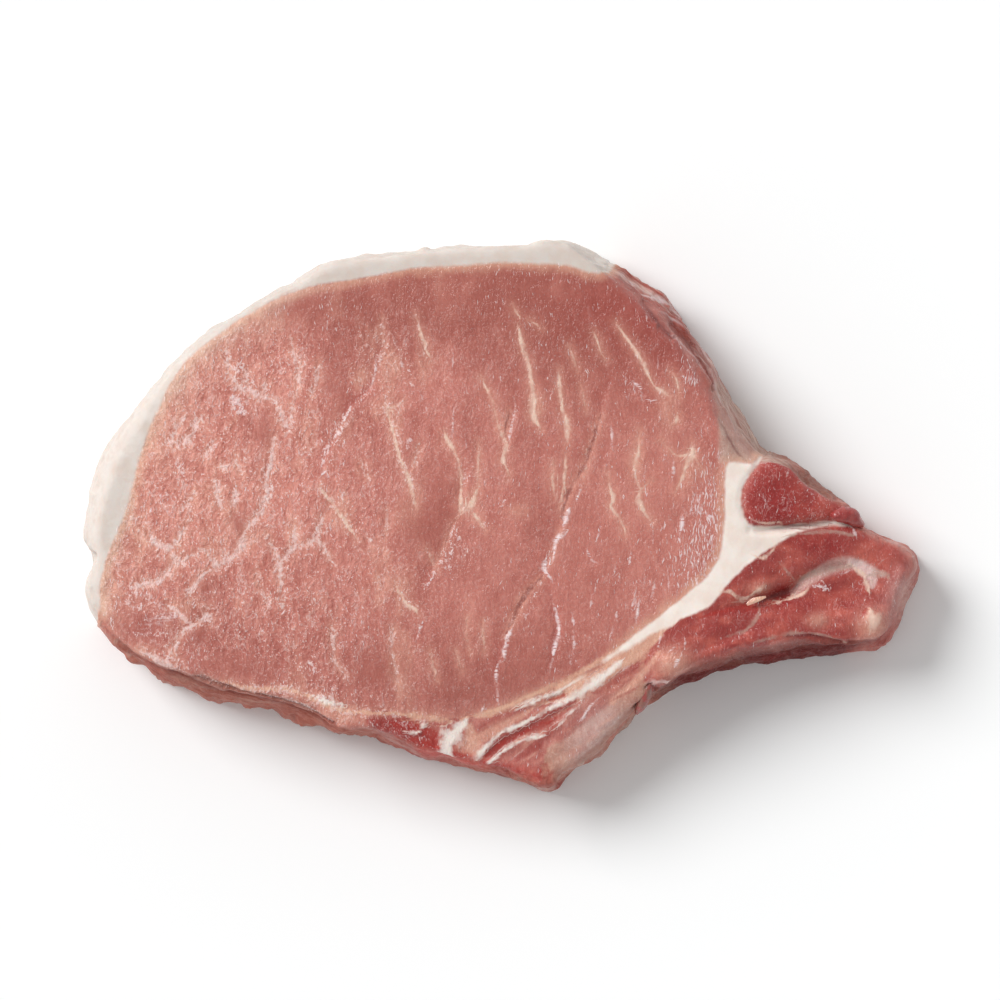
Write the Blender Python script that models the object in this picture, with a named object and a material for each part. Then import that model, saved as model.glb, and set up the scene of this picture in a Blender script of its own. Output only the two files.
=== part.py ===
"""Raw pork chop: one thick slice through the loin, laid flat, cut face up.

The slice is first shaped as a whole: the cut face, its leaning outer wall and the flat underside.
Each tissue that shows on the cut face then runs through the slice, from the cut face to the
underside, as a solid of its own: the loin eye, the fat cap round its back, the fat seam on its rib
side, the small side muscle, the rib meat, the lower strip and the bone tip.
"""

import math

import bmesh
import bpy
from mathutils import Vector

MM = 0.001

# Driving dimensions, in metres.
LOIN_HEIGHT = 0.0212      # underside to the cut face at the rim of the loin eye
CROWN_RISE = 0.0024       # how much higher the middle of the eye stands than its rim
ARM_DROP = 0.0062         # how much lower the end of the rib meat lies
TIP_DROP = 0.0048         # how much lower the bone tip lies
LEFT_DROP = 0.0016        # how much lower the fat end lies
GROOVE_DEPTH = 0.0020     # the furrow between the two lobes of the rib meat
SEAM_GAP = 0.0003         # clearance between neighbouring tissues

# Where the cut face rises and falls, in millimetres from the slice's middle.
EYE_MIDDLE = (-10.0, 5.5)
EYE_REACH = (72.0, 48.0)
ARM_FALL = (38.0, 78.0)
TIP_FALL = (-26.0, -50.0)
TIP_FALL_ACROSS = (-30.0, 4.0)
LEFT_FALL = (-54.0, -76.0)
GROOVE_START = (44.0, -16.0)
GROOVE_SLOPE = 0.16
GROOVE_HALF_WIDTH = 3.2
GROOVE_FADE_IN = (38.0, 48.0)
GROOVE_FADE_OUT = (74.0, 64.0)

# How finely the solids are divided.
GRID_STEP = 0.0042        # spacing of the points over the cut face
CUT_TOLERANCE = 0.00005   # points this close to a grid line are taken as on it
POINTS_PER_SPAN = 3       # points on the outline between two of its stations
TISSUE_POINTS_PER_SPAN = 2
CUTTER_REACH = 0.040      # tissue cutters reach this far above and below the slice

# Outer wall from the rim of the cut face down to the underside:
# (share of the lean covered, share of the height kept).
WALL_PROFILE = [(0.22, 0.955), (0.55, 0.80), (0.86, 0.55), (1.0, 0.30), (0.97, 0.10), (0.84, 0.0)]

# Middle of the slice's box in the millimetres that the outlines below are given in.
PLAN_MIDDLE = Vector((0.05, 0.55))

# The slice in plan at its widest girth, counterclockwise in millimetres, with how far inside it
# the rim of the cut face lies: (x, y, lean).
FAT_CAP_EDGE = [
    (18.3, 46.0, 2.4), (10.8, 49.2, 1.0), (1.0, 48.3, 0.9), (-9.0, 48.0, 0.9), (-20.0, 46.9, 1.0),
    (-30.4, 45.4, 1.0), (-36.2, 42.0, 0.9), (-48.2, 35.4, 1.0), (-59.0, 27.0, 1.8), (-67.9, 16.1, 2.8),
    (-72.6, 7.5, 3.4), (-74.9, -3.4, 3.2),
]
LEFT_END_EDGE = [(-73.0, -8.2, 1.6), (-73.7, -13.4, 1.2), (-69.7, -22.0, 1.6), (-62.6, -27.4, 2.0)]
LOWER_EDGE = [
    (-53.6, -32.0, 3.4), (-43.2, -34.7, 3.0), (-36.0, -37.0, 3.4), (-28.8, -39.2, 1.6), (-22.0, -39.6, 1.4),
    (-13.3, -43.3, 2.0), (-4.0, -45.2, 1.0), (7.2, -48.2, 1.0),
]
BONE_TIP_EDGE = [(10.3, -47.4, 1.2), (17.5, -43.0, 2.0), (22.5, -37.9, 2.4)]
ARM_UNDERSIDE_EDGE = [
    (28.2, -33.4, 2.6), (35.9, -29.1, 3.6), (44.5, -27.0, 4.2), (53.8, -25.2, 4.0), (61.8, -24.9, 2.6),
]
ARM_END_EDGE = [(69.4, -22.9, 2.2), (72.4, -16.1, 2.4), (75.0, -10.2, 2.4), (73.4, -6.0, 2.0)]
SIDE_MUSCLE_EDGE = [
    (65.0, -2.4, 1.0), (61.8, 1.4, 1.0), (55.4, 6.2, 1.8), (52.4, 9.2, 1.6), (49.2, 10.2, 1.4),
]
SILVERSKIN_EDGE = [
    (47.0, 12.0, 4.2), (42.7, 18.6, 4.4), (38.4, 25.4, 3.6), (32.7, 35.4, 4.8), (25.5, 41.9, 4.6),
]

# Where each tissue lies in plan, as closed loops in millimetres. A loop that reaches past the slice
# leaves the slice's own wall in place.
LOIN_EYE_LOOP = [
    (18.8, 44.0), (12.0, 45.4), (0.0, 45.8), (-10.7, 44.8), (-21.4, 42.5), (-33.9, 40.4), (-42.3, 37.0),
    (-50.0, 32.0), (-56.3, 26.6), (-61.1, 18.8), (-65.4, 10.4), (-67.2, 0.5), (-69.6, -6.6), (-71.2, -13.0),
    (-70.8, -18.2), (-71.6, -24.0), (-66.0, -33.0), (-52.0, -40.0), (-39.0, -42.0), (-34.4, -37.6),
    (-31.0, -33.4), (-25.0, -33.9), (-17.8, -35.5), (-10.0, -36.4), (-3.5, -35.4), (3.7, -32.4),
    (10.8, -29.3), (18.0, -25.2), (26.0, -19.8), (31.4, -15.4), (35.9, -11.8), (38.7, -8.0),
    (39.7, -3.0), (39.9, 3.0), (40.0, 8.4), (41.6, 9.7), (45.0, 9.4), (49.0, 11.6), (56.0, 16.0),
    (54.0, 30.0), (42.0, 44.0), (28.0, 52.0),
]
SIDE_MUSCLE_LOOP = [
    (47.0, 10.0), (44.7, 7.2), (43.3, 4.5), (43.2, 1.6), (44.4, -1.4), (47.5, -2.0), (53.0, -1.7),
    (58.0, -1.0), (62.6, -0.7), (67.0, -1.2), (72.0, 0.0), (68.0, 8.0), (56.0, 16.0), (50.0, 15.0),
]
RIB_MEAT_LOOP = [
    (42.2, -10.8), (39.8, -13.6), (37.4, -16.4), (32.3, -18.7), (28.4, -22.2), (25.9, -26.2), (26.2, -30.4),
    (26.2, -35.5), (29.6, -40.0), (38.0, -34.0), (56.0, -32.0), (78.0, -26.0), (84.0, -8.0), (76.0, 0.0),
    (69.0, -1.8), (64.0, -2.2), (60.0, -2.0), (56.0, -2.5), (52.4, -3.6), (49.3, -5.4), (46.2, -7.4),
]
LOWER_STRIP_LOOP = [
    (24.6, -26.2), (18.0, -30.2), (11.5, -33.2), (3.7, -34.6), (-3.0, -36.4), (-8.0, -35.0),
    (-18.0, -33.0), (-28.0, -31.0), (-37.0, -31.0), (-42.0, -44.0), (-16.0, -54.0), (4.0, -56.0),
    (7.4, -50.0), (7.6, -43.6), (10.4, -39.4), (17.0, -35.6), (23.2, -31.0),
]
BONE_TIP_LOOP = [
    (24.0, -27.0), (17.0, -33.0), (8.0, -38.0), (4.0, -46.0), (2.0, -56.0), (14.0, -58.0), (30.0, -44.0),
    (27.0, -30.0),
]
FAT_SEAM_ZONE = [
    (38.0, 14.0), (34.0, 0.0), (26.0, -16.0), (8.0, -28.0), (-4.0, -35.2), (-4.0, -37.4), (16.0, -35.0),
    (38.0, -24.0), (48.0, -10.0), (70.0, -5.0), (70.0, 4.0), (54.0, 12.0), (46.0, 13.0),
]
FAT_CAP_ZONE = [
    (26.0, 52.0), (22.0, 42.0), (0.0, 38.0), (-36.0, 34.0), (-56.0, 12.0), (-62.0, -12.0), (-64.0, -30.0),
    (-80.0, -30.0), (-84.0, 0.0), (-70.0, 36.0), (-30.0, 56.0), (6.0, 60.0),
]

# Base colour and roughness of each tissue.
LEAN_PINK = ((0.52, 0.19, 0.15), 0.34)
LEAN_DARK = ((0.34, 0.05, 0.05), 0.30)
LEAN_RED = ((0.42, 0.11, 0.09), 0.30)
FAT_WHITE = ((0.80, 0.70, 0.61), 0.42)
BONE_BEIGE = ((0.55, 0.32, 0.25), 0.40)


def clear_scene():
    """Remove every object of the scene that is open."""
    for existing in list(bpy.data.objects):
        bpy.data.objects.remove(existing, do_unlink=True)


def tissue_material(name, colour, roughness):
    """One Principled material for a tissue."""
    material = bpy.data.materials.new(name)
    material.use_nodes = True
    shader = material.node_tree.nodes["Principled BSDF"]
    shader.inputs["Base Color"].default_value = (*colour, 1.0)
    shader.inputs["Roughness"].default_value = roughness
    shader.inputs["Metallic"].default_value = 0.0
    return material


def smooth_loop(stations, per_span):
    """Points along a closed Catmull-Rom curve through the stations, whatever numbers each holds."""
    points = []
    count = len(stations)
    for index in range(count):
        before, start, end, after = (Vector(stations[(index + step) % count]) for step in (-1, 0, 1, 2))
        for part in range(per_span):
            t = part / per_span
            points.append(
                0.5 * (2 * start + (end - before) * t + (2 * before - 5 * start + 4 * end - after) * t * t
                       + (3 * start - before - 3 * end + after) * t * t * t)
            )
    return points


def outward_normals(points):
    """Unit normals of a counterclockwise closed outline, averaged over the next few points."""
    count = len(points)
    normals = []
    for index in range(count):
        along = points[(index + 2) % count] - points[index - 2]
        normals.append(Vector((along.y, -along.x)).normalized())
    return normals


def plan_place(x, y):
    """A place in plan, in metres from the middle of the slice."""
    return (Vector((x, y)) - PLAN_MIDDLE) * MM


def slice_outline():
    """The widest girth and the rim of the cut face, point for point."""
    stations = (FAT_CAP_EDGE + LEFT_END_EDGE + LOWER_EDGE + BONE_TIP_EDGE + ARM_UNDERSIDE_EDGE
                + ARM_END_EDGE + SIDE_MUSCLE_EDGE + SILVERSKIN_EDGE)
    points = smooth_loop(stations, POINTS_PER_SPAN)
    girth = [plan_place(point[0], point[1]) for point in points]
    rim = [
        place - normal * point[2] * MM
        for place, normal, point in zip(girth, outward_normals(girth), points)
    ]
    return girth, rim


def smooth_step(low, high, value):
    """0 at low, 1 at high, with a smooth change between them."""
    t = min(max((value - low) / (high - low), 0.0), 1.0)
    return t * t * (3.0 - 2.0 * t)


def face_height(place):
    """Height of the cut face above the underside at a place in plan, in metres."""
    x, y = place.x / MM, place.y / MM
    eye_radius = math.hypot((x - EYE_MIDDLE[0]) / EYE_REACH[0], (y - EYE_MIDDLE[1]) / EYE_REACH[1])
    crown = CROWN_RISE * (1.0 - smooth_step(0.0, 1.0, eye_radius))
    arm_fall = ARM_DROP * smooth_step(*ARM_FALL, x)
    tip_fall = TIP_DROP * smooth_step(*TIP_FALL, y) * smooth_step(*TIP_FALL_ACROSS, x)
    left_fall = LEFT_DROP * smooth_step(*LEFT_FALL, x)
    off_groove = y - GROOVE_START[1] - GROOVE_SLOPE * (x - GROOVE_START[0])
    groove = GROOVE_DEPTH * math.exp(-(off_groove / GROOVE_HALF_WIDTH) ** 2)
    groove *= smooth_step(*GROOVE_FADE_IN, x) * smooth_step(*GROOVE_FADE_OUT, x)
    return LOIN_HEIGHT + crown - arm_fall - tip_fall - left_fall - groove


def across_wall(place, rim, girth):
    """The girth point straight across the wall from a point on the rim."""
    nearest = None
    for index, start in enumerate(rim):
        end = rim[(index + 1) % len(rim)]
        run = end - start
        share = min(max((place - start).dot(run) / run.length_squared, 0.0), 1.0)
        miss = (start + run * share - place).length
        if nearest is None or miss < nearest[0]:
            nearest = (miss, girth[index].lerp(girth[(index + 1) % len(girth)], share))
    return nearest[1]


def grid_cuts(low, high, step):
    """Places of evenly spaced cuts between two limits."""
    count = int((high - low) / step)
    first = 0.5 * (low + high) - 0.5 * (count - 1) * step
    return [first + index * step for index in range(count)]


def cut_face(bm, rim):
    """The cut face: the rim filled, divided into a grid and raised to its height."""
    ring = [bm.verts.new((place.x, place.y, 0.0)) for place in rim]
    edges = [bm.edges.new((vert, ring[(index + 1) % len(ring)])) for index, vert in enumerate(ring)]
    bmesh.ops.contextual_create(bm, geom=ring + edges)
    for axis in (Vector((1, 0, 0)), Vector((0, 1, 0))):
        reach = [Vector((place.x, place.y, 0.0)).dot(axis) for place in rim]
        for place in grid_cuts(min(reach), max(reach), GRID_STEP):
            everything = bm.verts[:] + bm.edges[:] + bm.faces[:]
            bmesh.ops.bisect_plane(
                bm, geom=everything, dist=CUT_TOLERANCE, plane_co=axis * place, plane_no=axis
            )
    for vert in bm.verts:
        vert.co.z = face_height(vert.co.xy)


def outer_wall(bm, rim, girth):
    """The wall from the rim down to the underside, one ring for each row of WALL_PROFILE."""
    border = [edge for edge in bm.edges if edge.is_boundary]
    top = {vert: vert.co.copy() for edge in border for vert in edge.verts}
    reach = {vert: across_wall(place.xy, rim, girth) for vert, place in top.items()}
    for lean, height in WALL_PROFILE:
        extruded = bmesh.ops.extrude_edge_only(bm, edges=border)["geom"]
        border = [item for item in extruded if isinstance(item, bmesh.types.BMEdge) and item.is_boundary]
        fresh = {vert for edge in border for vert in edge.verts}
        steps = {}
        for vert in fresh:
            above = next(edge.other_vert(vert) for edge in vert.link_edges if edge.other_vert(vert) in top)
            place = top[above].xy.lerp(reach[above], lean)
            steps[vert] = (above, place, top[above].z * height)
        for vert, (above, place, level) in steps.items():
            vert.co = (place.x, place.y, level)
        top = {vert: top[above] for vert, (above, _, _) in steps.items()}
        reach = {vert: reach[above] for vert, (above, _, _) in steps.items()}
    bmesh.ops.contextual_create(bm, geom=border)


def whole_slice():
    """The whole slice as one closed mesh."""
    girth, rim = slice_outline()
    bm = bmesh.new()
    cut_face(bm, rim)
    outer_wall(bm, rim, girth)
    bmesh.ops.triangulate(bm, faces=bm.faces[:])
    bmesh.ops.recalc_face_normals(bm, faces=bm.faces[:])
    mesh = bpy.data.meshes.new("whole_slice")
    bm.to_mesh(mesh)
    bm.free()
    return mesh


def tissue_cutter(name, loop, margin=0.0):
    """An upright prism over a plan loop, grown outwards by a margin. It only cuts, and stays hidden."""
    points = [plan_place(*point) for point in smooth_loop(loop, TISSUE_POINTS_PER_SPAN)]
    grown = [point + normal * margin for point, normal in zip(points, outward_normals(points))]
    bm = bmesh.new()
    ring = [bm.verts.new((point.x, point.y, -CUTTER_REACH)) for point in grown]
    base = bm.faces.new(ring)
    raised = bmesh.ops.extrude_face_region(bm, geom=[base])["geom"]
    tops = [item for item in raised if isinstance(item, bmesh.types.BMVert)]
    bmesh.ops.translate(bm, verts=tops, vec=(0.0, 0.0, 2.0 * CUTTER_REACH))
    bmesh.ops.recalc_face_normals(bm, faces=bm.faces[:])
    mesh = bpy.data.meshes.new(name)
    bm.to_mesh(mesh)
    bm.free()
    cutter = bpy.data.objects.new(name, mesh)
    cutter.hide_render = True
    cutter.display_type = "WIRE"
    bpy.context.collection.objects.link(cutter)
    return cutter


def add_boolean(piece, operation, cutter):
    """A live exact Boolean on a piece."""
    modifier = piece.modifiers.new(f"{operation.lower()} {cutter.name}", "BOOLEAN")
    modifier.operation = operation
    modifier.solver = "EXACT"
    modifier.object = cutter


def add_tissue(name, slice_mesh, finish, inside, neighbours):
    """One tissue: the slice inside its own cutter, less its neighbours' cutters."""
    piece = bpy.data.objects.new(name, slice_mesh.copy())
    piece.data.name = name
    piece.data.materials.append(tissue_material(name, *finish))
    bpy.context.collection.objects.link(piece)
    add_boolean(piece, "INTERSECT", inside)
    for neighbour in neighbours:
        add_boolean(piece, "DIFFERENCE", neighbour)
    return piece


def main():
    """Build the chop, one object for each tissue."""
    clear_scene()
    chop = whole_slice()
    eye = tissue_cutter("loin_eye_bounds", LOIN_EYE_LOOP)
    around_eye = tissue_cutter("around_loin_eye", LOIN_EYE_LOOP, SEAM_GAP)
    side = tissue_cutter("side_muscle_bounds", SIDE_MUSCLE_LOOP)
    around_side = tissue_cutter("around_side_muscle", SIDE_MUSCLE_LOOP, SEAM_GAP)
    rib = tissue_cutter("rib_meat_bounds", RIB_MEAT_LOOP)
    around_rib = tissue_cutter("around_rib_meat", RIB_MEAT_LOOP, SEAM_GAP)
    strip = tissue_cutter("lower_strip_bounds", LOWER_STRIP_LOOP)
    around_strip = tissue_cutter("around_lower_strip", LOWER_STRIP_LOOP, SEAM_GAP)
    tip = tissue_cutter("bone_tip_bounds", BONE_TIP_LOOP)
    around_tip = tissue_cutter("around_bone_tip", BONE_TIP_LOOP, SEAM_GAP)
    seam = tissue_cutter("fat_seam_bounds", FAT_SEAM_ZONE)
    cap = tissue_cutter("fat_cap_bounds", FAT_CAP_ZONE)

    add_tissue("loin_eye", chop, LEAN_PINK, eye, [])
    add_tissue("side_muscle", chop, LEAN_DARK, side, [around_eye])
    add_tissue("rib_meat", chop, LEAN_RED, rib, [around_eye, around_side])
    add_tissue("lower_strip", chop, LEAN_RED, strip, [around_eye, around_rib])
    add_tissue("bone_tip", chop, BONE_BEIGE, tip, [around_eye, around_rib, around_strip])
    add_tissue("fat_cap", chop, FAT_WHITE, cap, [around_eye])
    round_seam = [around_eye, around_side, around_rib, around_strip, around_tip]
    add_tissue("fat_seam", chop, FAT_WHITE, seam, round_seam)
    bpy.data.meshes.remove(chop)


main()
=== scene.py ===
"""Raw pork chop: how the meat looks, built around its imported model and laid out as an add-on."""

import itertools

import bmesh
import bpy
import numpy as np
from mathutils import Matrix, Vector
from mathutils.bvhtree import BVHTree
from mathutils.kdtree import KDTree


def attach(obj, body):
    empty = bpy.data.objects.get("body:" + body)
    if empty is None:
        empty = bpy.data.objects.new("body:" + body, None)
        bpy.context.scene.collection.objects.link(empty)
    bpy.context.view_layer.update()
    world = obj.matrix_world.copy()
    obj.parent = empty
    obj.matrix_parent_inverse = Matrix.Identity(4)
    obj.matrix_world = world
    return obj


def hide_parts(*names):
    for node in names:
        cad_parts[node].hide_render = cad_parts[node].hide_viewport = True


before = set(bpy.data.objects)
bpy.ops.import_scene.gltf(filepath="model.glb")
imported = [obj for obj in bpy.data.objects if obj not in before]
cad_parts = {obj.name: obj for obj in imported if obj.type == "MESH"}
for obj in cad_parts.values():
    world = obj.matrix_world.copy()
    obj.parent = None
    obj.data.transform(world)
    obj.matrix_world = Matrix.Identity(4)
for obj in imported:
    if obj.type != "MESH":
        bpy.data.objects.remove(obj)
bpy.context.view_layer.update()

bl_info = {
    "name": "Raw pork chop",
    "version": (1, 0, 0),
    "blender": (4, 5, 0),
    "location": "3D View > Sidebar > Pork chop",
    "description": "Models a raw pork chop with its marbling, fat, silverskin and wet sheen",
    "category": "Object",
}

MM = 0.001
TISSUES = ("loin_eye", "side_muscle", "rib_meat", "lower_strip", "bone_tip", "fat_cap", "fat_seam")
FAT_NODES = ("fat_cap", "fat_seam")

# How the skin is grown, in metres: points this close are one, tissues swell by this much to meet, and the
# underside is flat below this level and divided into squares of this size.
MERGE = 0.000002
SWELL = 0.25 * MM
BASE_LEVEL = 0.6 * MM
BASE_GRID = 3.0 * MM

# How far a path, a soft band and a stroke are felt, and how high the rim of the wall lies, in millimetres.
PATH_REACH = 8.0
BAND_REACH = 6.0
STROKE_REACH = 3.0
RIM_HEIGHT = 21.0

# The studio.
FLOOR_SIZE = 4.0
FLOOR_COLOUR = (0.952, 0.96, 0.96, 1.0)
LAMP_PLACE = Vector((-0.62, 0.44, 0.66))
LAMP_STRENGTH = 2.62
LAMP_ANGLE = 0.55
SKY_HORIZON, SKY_TOP = 1.0, 0.475
CAMERA_PLACE = (0.00004, 0.0021, 1.5037)
CAMERA_LENS = 300.0

# Features of the cut face, as paths in plan, in millimetres from the middle of the chop.

# Creases between muscle bundles: path, depth, width of the gentle bank, width of the steep bank.
CREASES = [
    ([(-20.3, 30.0), (-21.6, 26.5), (-22.6, 23.0), (-24.2, 20.8), (-26.2, 19.0), (-28.2, 16.0),
      (-29.6, 12.8), (-31.2, 9.8), (-32.0, 6.4)], 0.22, 2.2, 0.4),
    ([(-7.3, -0.4), (-8.3, -1.8), (-9.2, -4.8), (-10.6, -7.2), (-11.3, -9.2), (-12.6, -11.0),
      (-14.2, -14.2)], 0.24, 2.6, 0.4),
    ([(19.6, 24.0), (18.6, 20.5), (17.8, 17.0), (16.8, 13.5), (14.9, 8.0), (12.8, 4.6), (11.4, 1.2),
      (10.9, -1.8), (10.0, -4.0), (9.3, -7.0), (8.0, -10.6), (5.4, -13.4), (3.2, -17.6), (1.5, -20.4),
      (0.4, -24.0), (-0.4, -27.5), (-1.0, -30.0), (-0.6, -34.0)], 0.24, 3.6, 0.3),
    ([(8.3, -12.6), (9.5, -16.5), (10.1, -19.0), (10.2, -21.5), (9.6, -24.5), (8.8, -28.2)],
     0.30, 1.2, 0.6),
    ([(-6.0, 8.4), (-6.5, 5.4), (-7.4, 2.2)], 0.25, 1.0, 0.6),
    ([(3.0, 20.0), (2.3, 17.0), (1.5, 13.0)], 0.30, 1.6, 0.6),
]

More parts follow.
